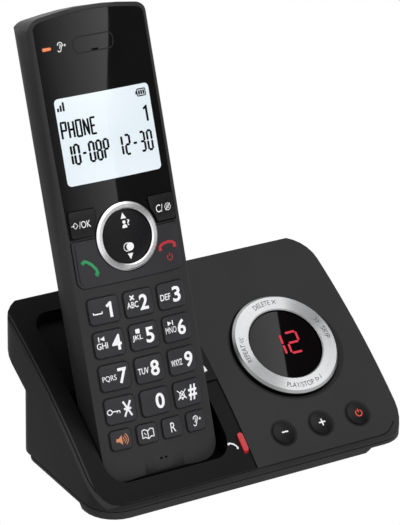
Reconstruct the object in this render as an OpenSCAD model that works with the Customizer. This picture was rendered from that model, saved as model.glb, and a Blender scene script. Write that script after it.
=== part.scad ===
// Telephone answering machine: a wedge-shaped base with a message panel, and a cordless handset standing in its cradle.
// Design frame: x = 0 on the seam between cradle and message panel, y = 0 at the front edge, z = 0 on the desk.
// The finished model is moved so that its origin is the middle of its bottom. Sizes are in millimetres.

/* [Base housing] */
// Width of the cradle side, from the left wall to the seam
cradle_w = 67.7; // [67:0.1:75]
// Width of the message panel side, from the seam to the right wall
panel_w = 66.2; // [65:0.1:80]
// Depth of the housing where it stands on the desk
foot_d = 60; // [59:0.1:62]
// Depth of the housing at the widest place of its back wall
waist_d = 63.8; // [62:0.1:66]
// Height of that place above the desk
waist_z = 17; // [15:0.5:20]
// Depth of the housing at its overhanging top
top_d = 81.2; // [80:0.1:90]
// Thickness of the overhanging part
overhang_t = 11.2; // [10:0.1:14]
// Radius of the domed top surface, seen from the side
dome_r = 300; // [280:5:340]
// Slope of the top surface at its middle, in degrees
dome_slope = 35.5; // [35:0.1:37]
// Distance of the middle of the top surface from the front edge
dome_y = 29.7; // [29:0.1:31]
// Height of the middle of the top surface above the desk
dome_z = 26.5; // [26:0.1:28]
// Corner radius at the front, seen from above
front_r = 12; // [6:0.5:13]
// Corner radius at the back, seen from above
back_r = 8.5; // [5:0.5:9]
// Corner radius of the overhanging top, seen from above
top_corner = 13; // [8:0.5:14]
// Wall of the housing
wall = 2; // [1.6:0.1:2.4]
// Floor of the housing
floor_t = 2; // [1.6:0.1:2.2]
// Height of the lower shell's rim above the desk
rim_z = 4.2; // [4:0.1:4.4]
// Height of the housing's front lip above the desk
lip_z = 5; // [4.8:0.1:5.2]
// Height that the lower shell is cut up on its left and at its right front corner
corner_cut = 1.6; // [0:0.1:2]
// Height of the feet below the floor
foot_h = 1; // [0.8:0.1:1.5]
// Radius of a foot
foot_r = 5; // [4:0.5:6]

/* [Cradle] */
// Width of the raised rim beside and before the cradle insert
rim_w = 2.5; // [2:0.1:3]
// Depth that the insert's surface lies below the housing's
insert_step = 0.6; // [0.3:0.1:1]
// Wall of the insert
insert_wall = 1.5; // [1.2:0.1:1.6]
// Distance of the pocket's left wall from the handset's middle
pocket_left = 24.3; // [24.1:0.1:25]
// Distance of the pocket's right wall from the handset's middle
pocket_right = 27; // [26:0.1:27.2]
// Distance of the pocket's front wall from the front edge
pocket_front = 9.3; // [9:0.1:10]
// Distance of the shallow pocket's back edge from the front edge
pocket_back = 72.5; // [66:0.5:74]
// Depth of the shallow part of the pocket behind the handset
pocket_depth = 4.2; // [3.5:0.1:5]
// Corner radius of the pocket
pocket_r = 7; // [5:0.5:8]

/* [Message panel] */
// Distance of the ring's middle from the seam
ring_x = 33; // [32:0.1:36]
// Distance of the ring's middle from the front edge
ring_y = 38.5; // [38:0.1:40]
// Slope of the ring, in degrees
ring_slope = 36; // [34:0.1:37]
// Outer radius of the ring
ring_r = 21.3; // [20:0.1:22]
// Radius of the opening in the ring
ring_hole_r = 14.8; // [14:0.1:15.5]
// Height of the ring's top above the housing
ring_proud = 1.5; // [1:0.1:2]
// Tilt of the ring to each of its four sides, in degrees
ring_tilt = 1.5; // [1:0.1:1.5]
// Distance of the middle round button from the seam
button_x = 32.3; // [32:0.1:35]
// Distance of the round buttons from the front edge
button_y = 11; // [10.8:0.1:12.5]
// Spacing of the round buttons
button_pitch = 16.4; // [15:0.1:17]
// Radius of a round button
button_r = 4.6; // [4.4:0.1:5.5]
// Height of a round button's crown above the housing
button_proud = 1.1; // [0.8:0.1:1.5]
// Travel of the base's buttons
button_travel = 0.5; // [0.3:0.05:0.5]

/* [Handset] */
// Lean of the handset back from upright, in degrees
lean = 20.4; // [20:0.1:21]
// Distance of the handset's middle from the seam
handset_left = 33.7; // [33.5:0.1:34]
// Distance of the navigation pad's middle from the front edge
handset_y = 42.9; // [42.8:0.1:43.2]
// Height of the navigation pad's middle above the desk
handset_z = 89.8; // [89.7:0.1:90.2]
// Width across the handset at its head
head_w = 48.9; // [48.6:0.1:49.4]
// Width across the handset at its lower end
tail_w = 47.1; // [46.8:0.1:47.4]
// Length from the navigation pad's middle to the top
head_l = 84.1; // [82:0.1:86]
// Length from the navigation pad's middle to the bottom
tail_l = 87.8; // [87.5:0.1:88]
// Thickness of the handset over the batteries
thick = 22.2; // [22.1:0.1:23]
// Thickness of the handset at the head
head_thick = 19; // [18.5:0.1:20]
// Corner radius of its back, seen end on
back_corner = 12; // [9:0.5:12]
// Radius of the crowned face, across its width
face_r = 130; // [120:5:200]
// Depth of the line where front and back shell meet
split_w = 9; // [8.8:0.1:9.2]
// Wall of the handset's shells
shell_t = 1.7; // [1.5:0.1:1.9]
// Thickness of the front shell under the keys
face_t = 3.8; // [3.7:0.1:4]
// Corner radius of the handset's head
head_corner = 5.5; // [5:0.5:8]
// Corner radius of the handset's lower end
tail_corner = 7; // [5:0.5:8]
// Height that the handset can be lifted along its own length
lift = 90; // [60:5:120]

/* [Display] */
// Half width of the glossy lens
lens_hw = 22.4; // [22:0.1:22.5]
// Thickness of the lens
lens_t = 1.2; // [1:0.1:1.3]
// Width of the display window
lcd_w = 38.4; // [36:0.1:39]
// Height of the display window
lcd_h = 31.6; // [30:0.1:32]
// Height of the display window's middle over the navigation pad
lcd_v = 37.2; // [36.5:0.1:38]

/* [Keypad] */
// Spacing of the number keys across
key_dx = 14; // [13.8:0.1:14.1]
// Spacing of the number keys down the face
key_dy = 12.2; // [12:0.1:12.3]
// Width of a number key
key_w = 11.6; // [11:0.1:11.8]
// Height of a number key
key_h = 9.3; // [9:0.1:9.5]
// Distance of the keypad's middle below the navigation pad
keypad_v = 42.8; // [42.6:0.1:43]
// Spacing of the small keys
small_dx = 10.45; // [10.3:0.05:10.5]
// Width of a small key
small_w = 8.1; // [7.8:0.1:8.2]
// Height of a small key
small_h = 7; // [6.6:0.1:7.2]
// Distance of the small keys below the navigation pad
small_v = 71.8; // [71.6:0.1:72.2]
// Height of a key's top above the face
key_proud = 0.8; // [0.5:0.1:1]
// Travel of a key
key_travel = 0.8; // [0.5:0.1:0.8]
// Outer radius of the silver ring round the navigation pad
nav_ring_r = 12.45; // [12:0.05:12.5]
// Radius of the opening in that ring
nav_hole_r = 10; // [9.9:0.05:10.1]
// Height of that ring above the face
nav_proud = 1.1; // [0.8:0.1:1.4]

/* [Batteries] */
// Radius of a battery cell
cell_r = 5.2; // [5:0.05:5.25]
// Length of a battery cell
cell_l = 44.5; // [43:0.1:44.5]
// Distance of the cells' middle above the navigation pad
cell_v = 6; // [5:0.5:7]
// Width of the battery door
door_w = 30; // [29:0.5:32]
// Length of the battery door
door_l = 58; // [56:0.5:59]
// Thickness of the battery door
door_t = 1.5; // [1.3:0.1:1.6]

/* [Fits] */
// Gap round a key or button in its opening
key_gap = 0.25; // [0.2:0.05:0.3]
// Gap between a fixed piece and the recess it sits in
seat_gap = 0.1; // [0.05:0.05:0.15]
// Gap between handset and cradle
dock_gap = 0.5; // [0.4:0.05:0.8]

/* [Hidden] */
$fn = 64;
big = 400;

// Centre of the circle that the top surface follows, in the side view.
arc_y = dome_y + dome_r * sin(dome_slope);
arc_z = dome_z - dome_r * cos(dome_slope);
base_z = foot_h;
floor_z = foot_h + floor_t;
handset_x = -handset_left;

// Round corners: each outline point is [x, y, radius].
corner_steps = 7;
function unit(a) = a / norm(a);
function left_of(a) = [-a[1], a[0]];
function xy(p) = [p[0], p[1]];
function turn(a, b) = a[0] * b[1] - a[1] * b[0];
function fillet(a, b, c, r) =
  let (e = unit(xy(a) - xy(b)), f = unit(xy(c) - xy(b)), half = acos(max(-1, min(1, e * f))) / 2)
  let (mid = xy(b) + unit(e + f) * r / sin(half), from = xy(b) + e * r / tan(half) - mid)
  let (side = turn(e, f) > 0 ? 1 : -1, sweep = (180 - 2 * half) * side)
  [for (i = [0 : corner_steps]) let (t = -sweep * i / corner_steps)
    mid + [from[0] * cos(t) - from[1] * sin(t), from[0] * sin(t) + from[1] * cos(t)]];
function rounded(pts) = let (n = len(pts)) [for (i = [0 : n - 1])
  each (pts[i][2] > 0 ? fillet(pts[(i + n - 1) % n], pts[i], pts[(i + 1) % n], pts[i][2]) : [xy(pts[i])])];
// The same outline, counter-clockwise, moved in by t.
function inset(pts, t) = let (n = len(pts)) [for (i = [0 : n - 1])
  let (a = xy(pts[(i + n - 1) % n]), b = xy(pts[i]), c = xy(pts[(i + 1) % n]))
  let (m = left_of(unit(b - a)), k = left_of(unit(c - b)), convex = turn(b - a, c - b) > 0)
  let (p = b + (m + k) * t / (1 + m * k))
  [p[0], p[1], pts[i][2] > 0 ? max(0.3, pts[i][2] + (convex ? -t : t)) : 0]];
function box_outline(x0, y0, x1, y1, r) = [[x0, y0, r], [x1, y0, r], [x1, y1, r], [x0, y1, r]];
function box_outline_xy(x0, y0, x1, y1) = rounded(box_outline(x0, y0, x1, y1, 0));

// The top surface: slope and height at a distance from the front edge.
function dome_angle(y) = asin((arc_y - y) / dome_r);
function dome_height(y) = arc_z + dome_r * cos(dome_angle(y));
// Everything under the top surface, less a depth
module under_dome(depth) translate([-big / 2, arc_y, arc_z]) rotate([0, 90, 0])
  cylinder(h = big, r = dome_r - depth, $fn = 720);

// Frames. A side view is drawn in [y, z] and runs along x.
module to_origin() translate([(cradle_w - panel_w) / 2, -overall_d / 2, 0]) children();
module along_x(x0, x1) translate([x0, 0, 0]) rotate([90, 0, 90]) linear_extrude(x1 - x0) children();
module on_dome(x, y) translate([x, y, dome_height(y)]) rotate([dome_angle(y), 0, 0]) children();
module on_ring() translate([ring_x, ring_y, dome_height(ring_y)]) rotate([ring_slope, 0, 0]) children();
module on_handset() translate([handset_x, handset_y, handset_z]) rotate([90 - lean, 0, 0]) children();
module part(c) color(c) to_origin() children();
module handset_part(c) part(c) on_handset() children();
module tube(z0, z1, r, hole = 0) translate([0, 0, z0]) difference() {
  cylinder(h = z1 - z0, r = r);
  if (hole > 0) translate([0, 0, -1]) cylinder(h = z1 - z0 + 2, r = hole);
}
module slab(z0, z1, pts) translate([0, 0, z0]) linear_extrude(z1 - z0) polygon(pts);

// ---- Base housing ----
function rect_plan(depth, t, r = back_r) = rounded(inset([[-cradle_w, 0, front_r], [panel_w, 0, front_r],
  [panel_w, depth, r], [-cradle_w, depth, r]], t));
// Side views, counter-clockwise in [y, z] as seen from the right; the top surface cuts them off.
function stand_side(t) = rounded(inset([[0, base_z, 0], [foot_d, base_z, 0], [waist_d, waist_z, 4],
  [waist_d - 1.2, waist_z + 12, 0], [waist_d - 1.2, 90, 0], [0, 90, 0]], t));
nose_z = dome_height(top_d);
function overhang_side(t) = rounded(inset([[under_y(30), under_z(30), 0], [under_y(top_d), under_z(top_d), 3],
  [top_d, nose_z - overhang_t * 0.45, 5], [top_d - 2.5, nose_z + 3, 0], [40, 90, 0]], t));
function under_y(y) = y + overhang_t * sin(dome_angle(y));
function under_z(y) = dome_height(y) - overhang_t * cos(dome_angle(y));
module base_blank(t) {
  intersection() {
    along_x(-big, big) polygon(stand_side(t));
    slab(-1, 90, rect_plan(waist_d, t));
  }
  intersection() {
    along_x(-big, big) polygon(overhang_side(t));
    slab(-1, 90, rect_plan(top_d, t, top_corner));
  }
}
module base_body(t) intersection() {
  base_blank(t);
  under_dome(t);
}

// ---- Cradle ----
insert_x0 = -cradle_w + rim_w;
insert_x1 = -seat_gap;
pocket_x0 = handset_x - pocket_left;
pocket_x1 = handset_x + pocket_right;
key_strip = -pocket_x1;
pocket_floor = 5.9;
charge_y = 34.5;

// Side view of the handset's back and lower end, in the handset's own [v, w]; t moves it outwards.
heel_w = 13;
heel_v = -tail_l + (heel_w - 3) * tan(lean);
back_v = -66;
overall_d = max([for (p = handset_side(0)) handset_y + p[0] * sin(lean) - p[1] * cos(lean)]);
function handset_yz(v, w) = [handset_y + v * sin(lean) - w * cos(lean), handset_z + v * cos(lean) + w * sin(lean)];
heel = handset_yz(heel_v, -heel_w);
seat = handset_yz(back_v, -thick);
above = handset_yz(0, -thick);
// The slot that takes the handset's lower end, [y, z]
function slot_side(t) = inset([[pocket_front, pocket_floor, 0], [heel[0] - 0.3, pocket_floor, 0],
  [seat[0] + dock_gap, seat[1] - dock_gap, 0], [above[0] + dock_gap, above[1], 0], [pocket_front, above[1], 0]], -t);
function recess_plan(t) = rounded(inset([[pocket_x0, pocket_front, pocket_r], [pocket_x1, pocket_front, pocket_r],
  [pocket_x1, pocket_back, pocket_r], [pocket_x0, pocket_back, pocket_r]], -t));
// The pocket: a shallow part behind the handset and a slot for its lower end; t moves its walls outwards
module pocket(t) intersection() {
  slab(pocket_floor - t, 100, recess_plan(t));
  union() {
    along_x(-big, big) polygon(rounded(slot_side(t)));
    difference() {
      translate([-100, -10, -10]) cube([200, 100, 120]);
      under_dome(insert_step + pocket_depth + t);
    }
  }
}
insert_y0 = 3.2;
function insert_plan(t) = rounded(inset([[insert_x0, insert_y0, 7], [insert_x1, insert_y0, 0],
  [insert_x1, top_d + 5, 0], [insert_x0, top_d + 5, 0]], t));
light_x0 = -2.8;
light_y0 = 8.7;
light_y1 = 14.4;
module light_shape(z0, z1, t) translate([0, 0, z0]) linear_extrude(z1 - z0)
  polygon(rounded(inset(box_outline(light_x0, light_y0, insert_x1 - 0.4, light_y1, 0.8), t)));
find_x = (pocket_x1 + insert_x1) / 2;
find_y = 40.4;
find_w = insert_x1 - pocket_x1 - 0.5;
find_l = 18.2;
module find_shape(z0, z1, t) on_dome(find_x, find_y) slab(z0, z1,
  rounded(inset(box_outline(-find_w / 2, -find_l / 2, find_w / 2, find_l / 2, 0.3), t)));
contact_dx = 9;
contact_slope = atan2(seat[1] - heel[1], seat[0] - heel[0]);
module on_contact(side) translate([handset_x + side * contact_dx, (heel[0] + seat[0]) / 2, (heel[1] + seat[1]) / 2])
  rotate([contact_slope, 0, 0]) children();
pin_r = 1.5;

module base_top_shell() part("#2f2f31") {
  ring_seats();
  top_shell();
}
module top_shell() difference() {
  union() {
    difference() {
      union() {
        base_body(0);
        slab(base_z, lip_z, rounded(inset([[-cradle_w, 0, front_r], [panel_w, 0, front_r], [panel_w, 20, 0],
          [-cradle_w, 20, 0]], 0)));
      }
      base_body(wall);
      slab(-1, rim_z, box_outline_xy(-100, -10, 100, 100));
    }
    intersection() {
      under_dome(wall - 0.5);
      for (p = boss_at) translate([p[0], p[1], floor_z]) cylinder(h = 60, r = boss_r);
    }
    intersection() {
      under_dome(wall - 0.5);
      on_ring() tube(-6.3, 4, ring_bore + 1.3);
    }
  }
  difference() {
    slab(-1, 90, insert_plan(0));
    under_dome(insert_step + insert_wall + seat_gap);
  }
  rim_groove();
  for (p = boss_at) translate([p[0], p[1], 0]) cylinder(h = floor_z + 8, r = screw_r);
  on_ring() tube(-5.1, 9, ring_bore);
  on_ring() tube(-9, 9, ring_r - 2.2);
  on_ring() translate([0, 0, -0.9]) cylinder(h = 2.6, r1 = ring_bore, r2 = ring_bore + 3.9);
  for (i = [-1 : 1]) on_dome(button_x + i * button_pitch, button_y) {
    tube(-5, 5, button_r + key_gap);
    translate([0, 0, -0.5]) cylinder(h = 1.5, r1 = button_r + key_gap, r2 = button_r + key_gap + 1.6);
  }
  translate([line_x, 0, 0]) socket_hole(line_w, line_h);
  translate([power_x, 0, 0]) socket_hole(power_w, power_h);
}
ring_bore = ring_r + 0.7;
screw_r = 1.4;
boss_r = 2.9;
boss_at = [for (x = [-cradle_w + 5, panel_w - 5.2]) for (y = [20, 42]) [x, y]];
// A fine groove along the middle of the rim, at the left and the front
function groove_plan(t) = rounded(inset([[-cradle_w, 1.5, front_r], [panel_w, 1.5, front_r],
  [panel_w, top_d + 20, 0], [-cradle_w, top_d + 20, 0]], t));
module rim_groove() difference() {
  slab(lip_z - 0.5, 90, groove_plan(1.1));
  slab(-1, 91, groove_plan(1.6));
  under_dome(0.5);
  translate([panel_w - front_r, 6, 0]) cube(100);
}

module base_bottom_shell() part("#2a2a2c") difference() {
  union() {
    difference() {
      union() {
        slab(base_z, rim_z - 0.45, rect_plan(foot_d, 0));
        slab(base_z, rim_z, rect_plan(foot_d, 0.4));
      }
      slab(floor_z, rim_z + 1, rect_plan(foot_d, wall));
    }
    translate([speaker_x, speaker_y, floor_z - 0.5]) tube(0, 2.5, speaker_r + 1.5, speaker_r + seat_gap);
  }
  for (p = boss_at) translate([p[0], p[1], 0]) {
    cylinder(h = 9, r = screw_r + 0.2);
    cylinder(h = base_z + 1.1, r = 2.9);
  }
  for (p = foot_at) translate([p[0], p[1], 0]) cylinder(h = base_z + 0.5, r = foot_r + seat_gap);
  for (i = [-3 : 3]) translate([speaker_x + i * 4, speaker_y, 0]) cube([2, 2 * sqrt(196 - 16 * i * i), 20], center = true);
  along_x(-cradle_w - 1, -cradle_w + wall - 0.2) polygon([[front_r + 1, base_z - 1], [front_r + 4, base_z + corner_cut],
    [foot_d + 1, base_z + corner_cut], [foot_d + 1, base_z - 1]]);
  translate([0, 16, 0]) rotate([90, 0, 0]) linear_extrude(17) polygon([[panel_w - 22, base_z - 1],
    [panel_w - 18, base_z + corner_cut], [panel_w + 1, base_z + corner_cut], [panel_w + 1, base_z - 1]]);
}
foot_at = [[-cradle_w + 15.7, 10], [-cradle_w + 17.7, foot_d - 9], [panel_w - 29.2, 9], [panel_w - 20, foot_d - 9]];
speaker_x = ring_x;
speaker_y = 36;
speaker_r = 18;

module rubber_feet() part("#161616") for (p = foot_at) translate([p[0], p[1], 0]) cylinder(h = base_z + 0.5, r = foot_r);

module base_screws() part("silver") for (p = boss_at) translate([p[0], p[1], 0]) difference() {
  union() {
    translate([0, 0, base_z + 1.1 - 0.8]) cylinder(h = 0.8, r = 2.6);
    translate([0, 0, base_z + 1.1 - 0.01]) cylinder(h = 7, r = screw_r);
  }
  for (a = [0, 90]) rotate([0, 0, a]) cube([2.6, 0.6, 2 * (base_z + 0.8)], center = true);
}

module cradle_insert() part("#1d1d1f") difference() {
  intersection() {
    union() {
      difference() {
        slab(floor_z + 0.2, 90, insert_plan(seat_gap));
        under_dome(insert_step + insert_wall);
      }
      pocket(insert_wall);
    }
    under_dome(insert_step);
    base_blank(0);
  }
  pocket(0);
  find_shape(-4.65, 5, -key_gap);
  light_shape(-1, 60, -seat_gap);
  for (side = [-1, 1]) on_contact(side) tube(-5, 5, pin_r + 0.1);
}

module charge_contact(side) part("gold") on_contact(side) {
  tube(-dock_gap - insert_wall - 0.2, -0.05, pin_r);
  tube(-dock_gap - insert_wall - 1.2, -dock_gap - insert_wall - 0.15, pin_r + 0.6);
}
module charge_contact_left() charge_contact(-1);
module charge_contact_right() charge_contact(1);

module find_handset_button() part("#232325") {
  find_shape(-4, 0.1, 0);
  on_dome(find_x, find_y) slab(-4, -2.4,
    box_outline_xy(-find_w / 2 + insert_wall + 0.2, -find_l / 2 - 1, find_w / 2, find_l / 2 + 1));
}
module in_use_light() part("#c02018") difference() {
  intersection() {
    light_shape(-1, 60, 0);
    under_dome(-0.1);
  }
  under_dome(insert_step + insert_wall);
}

// ---- Message panel ----
module round_button(i) part("#232325") on_dome(button_x + i * button_pitch, button_y) {
  intersection() {
    tube(-2.1, button_proud, button_r);
    translate([0, 0, button_proud - 16]) sphere(r = 16, $fn = 96);
  }
  tube(-2.8, -2.1, button_r + 0.8);
  tube(-2.95, -2.7, 1.7);
}
module volume_down_button() round_button(-1);
module volume_up_button() round_button(0);
module power_button() round_button(1);

pad_r = 0.8;
module message_ring() part("#b9bbbd") on_ring() rotate_extrude($fn = 128)
  polygon([[ring_hole_r, -1.6], [ring_r, -1.6], [ring_r, ring_proud - 0.9], [ring_r - 0.9, ring_proud],
    [ring_hole_r + 0.4, ring_proud], [ring_hole_r, ring_proud - 0.4]]);
pad_pos = ring_r - 3.6;
module ring_carrier() part("#3a3a3c") on_ring() {
  tube(-4, -2.65, ring_r, ring_hole_r + 0.5);
  for (x = [-1, 1]) translate([x * pad_pos - 1.5, 0, -1.65 - pad_r]) rotate([0, 90, 0]) cylinder(h = 3, r = pad_r);
}
module ring_seats() on_ring() for (y = [-1, 1])
  translate([0, y * (ring_r - 1), -4.05 - pad_r]) rotate([90, 0, 0]) cylinder(h = 2, r = pad_r, center = true);

window_r = ring_hole_r - 0.45;
module display_window() part("#101012") on_ring() {
  tube(-1, 0.6, window_r);
  tube(-board_n, -0.9, window_r, window_r - 1.2);
}
board_n = 9;
module digit_display() part("#401010") on_ring() {
  slab(-board_n, -1.6, box_outline_xy(-9, -6.5, 9, 6.5));
}
module base_circuit_board() part("#1f5a34") {
  on_ring() {
    difference() {
      slab(-board_n - 1.4, -board_n, rounded(box_outline(-ring_x - 4.9, -19, 22, 23.5, 2)));
      for (x = [-25, 18]) for (y = [-16, 20]) translate([x, y, -board_n - 2]) cylinder(h = 3, r = 1.2);
    }
    for (p = [[-24, 12, 8, 6], [-24, -6, 6, 10], [-2, 14, 12, 7], [15, -9, 5, 5]])
      translate([p[0] - p[2] / 2, p[1] - p[3] / 2, -board_n - 3]) cube([p[2], p[3], 1.7]);
  }
}
low_n = 4.9;
module button_board() part("#1f5a34") on_dome(button_x, button_y)
  slab(-low_n - 1, -low_n, rounded(box_outline(-button_pitch - 6, -5.5, button_pitch + 6, 8.5, 1)));
module base_switches() part("#8a8a8a") {
  for (i = [-1 : 1]) on_dome(button_x + i * button_pitch, button_y) {
    translate([-2.5, -2.5, -low_n]) cube([5, 5, 0.9]);
    tube(-low_n, -3.5, 1.2);
  }
  on_ring() for (a = [0 : 90 : 270]) rotate([0, 0, a]) translate([window_r + 2.6, 0, 0]) {
    translate([-1.5, -1.5, -board_n]) cube([3, 3, 2.2]);
    tube(-board_n, -board_n + 3, 0.8);
  }
  on_ring() translate([find_x - ring_x, 2, 0]) {
    translate([-1.6, -3, -board_n]) cube([3.2, 6, 2.5]);
    tube(-board_n, -4.7, 1);
  }
}

// ---- Sockets and speaker ----
socket_z = 12;
line_x = -22;
power_x = 14;
line_w = 13;
line_h = 12;
power_w = 10;
power_h = 11;
module socket_hole(w, h) translate([-w / 2, waist_d - 12, socket_z - h / 2]) cube([w, 20, h]);
function wall_y(z) = foot_d + (waist_d - foot_d) * (z - base_z) / (waist_z - base_z);
module line_socket() part("#202022") translate([line_x, 0, 0]) difference() {
  translate([-line_w / 2 + 0.1, 47, socket_z - line_h / 2 + 0.1]) cube([line_w - 0.2, wall_y(socket_z) - 47.4, line_h - 0.2]);
  translate([-4.85, 51, socket_z - 3.3]) cube([9.7, 20, 6.7]);
  translate([-2, 51, socket_z - 4.8]) cube([4, 20, 4]);
}
module power_socket() part("#202022") translate([power_x, 0, socket_z]) {
  difference() {
    translate([-power_w / 2 + 0.1, 50, -power_h / 2 + 0.1]) cube([power_w - 0.2, wall_y(socket_z) - 50.4, power_h - 0.2]);
    translate([0, 52, 0]) rotate([-90, 0, 0]) cylinder(h = 20, r = 2.75);
  }
  translate([0, 51, 0]) rotate([-90, 0, 0]) cylinder(h = 9, r = 0.95);
}
module speaker() part("#3c3c3e") translate([speaker_x, speaker_y, floor_z]) rotate_extrude()
  polygon([[0, 3.2], [5, 3.6], [13.5, 1.2], [15, 1.8], [16.5, 0], [speaker_r, 0], [speaker_r, 1.6], [16, 3],
    [9, 5.6], [9, 9], [0, 9]]);

// ---- Handset ----
half_head = head_w / 2;
half_tail = tail_w / 2;
function crown(u) = sqrt(face_r * face_r - u * u) - face_r;
function face_plan(t) = rounded(inset(concat(
  [[-half_tail, -tail_l + 1, tail_corner], [0, -tail_l, 0], [half_tail, -tail_l + 1, tail_corner],
   [half_tail, -10, 0], [half_head, 70, 0], [half_head, head_l - 2.5, head_corner]],
  [for (u = [12, 6, 0, -6, -12]) [u, head_l - u * u / 180, 0]],
  [[-half_head, head_l - 2.5, head_corner], [-half_head, 70, 0], [-half_tail, -10, 0]]), t));
// Seen end on, in [u, w]: crowned face, rounded edges, full corners at the back
section_steps = 8;
function section(t) = rounded(inset(concat(
  [[-half_head, -thick, back_corner], [half_head, -thick, back_corner], [half_head, crown(half_head) - 0.1, 2]],
  [for (i = [-section_steps : section_steps]) let (u = -i * (half_head - 2.6) / section_steps) [u, crown(u), 0]],
  [[-half_head, crown(half_head) - 0.1, 2]]), t));
// Side view, in [v, w]
function handset_side(t) = rounded(inset([[-tail_l, 0, 2.5], [-tail_l, -3, 0.5], [heel_v, -heel_w, 1.5],
  [back_v, -thick, 5], [40, -thick, 30], [72, -head_thick, 10], [head_l, -head_thick + 5, 4], [head_l, 0, 2]], t));
module along_u(pts) translate([-big / 2, 0, 0]) rotate([90, 0, 90]) linear_extrude(big) polygon(pts);
module along_v(pts) rotate([90, 0, 0]) translate([0, 0, -big / 2]) linear_extrude(big) polygon(pts);
module handset_body(t) intersection() {
  along_u(handset_side(t));
  along_v(section(t));
  slab(-40, 10, face_plan(t));
}
module front_half() translate([-big / 2, -big / 2, -split_w]) cube([big, big, 40]);
// A plate that follows the crown of the face between two heights over it
module crowned(w0, w1, pts) intersection() {
  slab(w0 - 4, w1 + 1, pts);
  difference() {
    translate([0, -big / 2, -face_r]) rotate([-90, 0, 0]) cylinder(h = big, r = face_r + w1, $fn = 360);
    translate([0, -big, -face_r]) rotate([-90, 0, 0]) cylinder(h = 2 * big, r = face_r + w0, $fn = 360);
  }
}
// A key: cap through the face, and a flange that stops it under the face
module key(pts, c = "#39393b") handset_part(c) {
  intersection() {
    slab(-face_t, key_proud + 2, rounded(pts));
    translate([0, -big / 2, -face_r]) rotate([-90, 0, 0]) cylinder(h = big, r = face_r + key_proud, $fn = 360);
  }
  slab(-face_t - 0.8, -face_t, rounded(inset(pts, -0.5)));
}
function at(pts, u, v) = [for (p = pts) [p[0] + u, p[1] + v, p[2]]];
key_outline = box_outline(-key_w / 2, -key_h / 2, key_w / 2, key_h / 2, 1.5);
small_outline = box_outline(-small_w / 2, -small_h / 2, small_w / 2, small_h / 2, 1.3);
function key_place(col, row) = [col * key_dx, -keypad_v + (0.5 - row) * key_dy];
function number_outline(col, row) = let (p = key_place(col, row)) at(key_outline, p[0], p[1]);
function small_at(i) = at(small_outline, (i - 1.5) * small_dx, -small_v);
module number_key(col, row) key(number_outline(col, row));
module key_1() number_key(-1, -1);
module key_2() number_key(0, -1);
module key_3() number_key(1, -1);
module key_4() number_key(-1, 0);
module key_5() number_key(0, 0);
module key_6() number_key(1, 0);
module key_7() number_key(-1, 1);
module key_8() number_key(0, 1);
module key_9() number_key(1, 1);
module key_star() number_key(-1, 2);
module key_0() number_key(0, 2);
module key_hash() number_key(1, 2);
module speaker_key() key(small_at(0));
module phonebook_key() key(small_at(1));
module recall_key() key(small_at(2));
module boost_key() key(small_at(3));

ring_clear = nav_ring_r + 0.3;
function mirrored(pts) = [for (i = [len(pts) - 1 : -1 : 0]) [-pts[i][0], pts[i][1], pts[i][2]]];
soft_right_outline = [[13.4, 2.8, 0.6], [21.3, 2.8, 0.8], [21.3, 12.3, 0.8], [10.6, 12.3, 0.8], [11.2, 8, 0]];
module soft_key_right() soft_key(soft_right_outline);
module soft_key_left() soft_key(mirrored(soft_right_outline));
module soft_key(pts) difference() {
  key(pts, "#202022");
  handset_part("#202022") tube(-40, 40, ring_clear + 0.9);
}
call_hw = 21.9;
call_axis = 3.1;
call_outline = [[-call_hw, -15.6, 3], [call_hw, -15.6, 3], [call_hw, 1.4, 0.8], [-call_hw, 1.4, 0.8]];

module call_key() handset_part("#39393b") difference() {
  union() {
    crowned(-1.2, 0.5, rounded(call_outline));
    slab(-2.6, -0.8, rounded(inset(call_outline, 1)));
    translate([0, -14.6, -call_axis]) rotate([-90, 0, 0]) cylinder(h = 1, r = pad_r);
  }
  tube(-40, 40, ring_clear);
}
module nav_ring() handset_part("#c4c6c8") rotate_extrude($fn = 96)
  polygon([[nav_hole_r, -1.2], [nav_ring_r, -1.2], [nav_ring_r, nav_proud - 0.7], [nav_ring_r - 0.8, nav_proud],
    [nav_hole_r + 0.5, nav_proud], [nav_hole_r, nav_proud - 0.5]]);
module nav_rocker() handset_part("#2c2c2e") {
  intersection() {
    tube(-3, 0.8, nav_hole_r - 0.35);
    translate([0, 0, 0.8 - 70]) sphere(r = 70, $fn = 128);
  }
  translate([-3, 0, -3.1]) rotate([0, 90, 0]) cylinder(h = 6, r = pad_r);
}
module face_hole(pts) slab(-face_t - 1, 4, rounded(inset(pts, -key_gap)));
lens_outline = [[-lens_hw, 2.2, 1], [lens_hw, 2.2, 1], [lens_hw, 90, 0], [-lens_hw, 90, 0]];
light_at = [-18.5, 70.8];
ear_at = [-0.5, 70.5];
mic_v = -81.9;
module lens_plan(t) intersection() {
  slab(-8, 6, rounded(inset(lens_outline, t)));
  slab(-9, 7, face_plan(1.7 + t));
}
module above_crown(depth) difference() {
  translate([-40, -100, -8]) cube([80, 200, 20]);
  translate([0, -big / 2, -face_r]) rotate([-90, 0, 0]) cylinder(h = big, r = face_r - depth, $fn = 360);
}
screws_at = [[-17, 58.5], [17, 58.5], [-15.5, -79.3], [15.5, -79.3]];
boss_end = 11;

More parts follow.
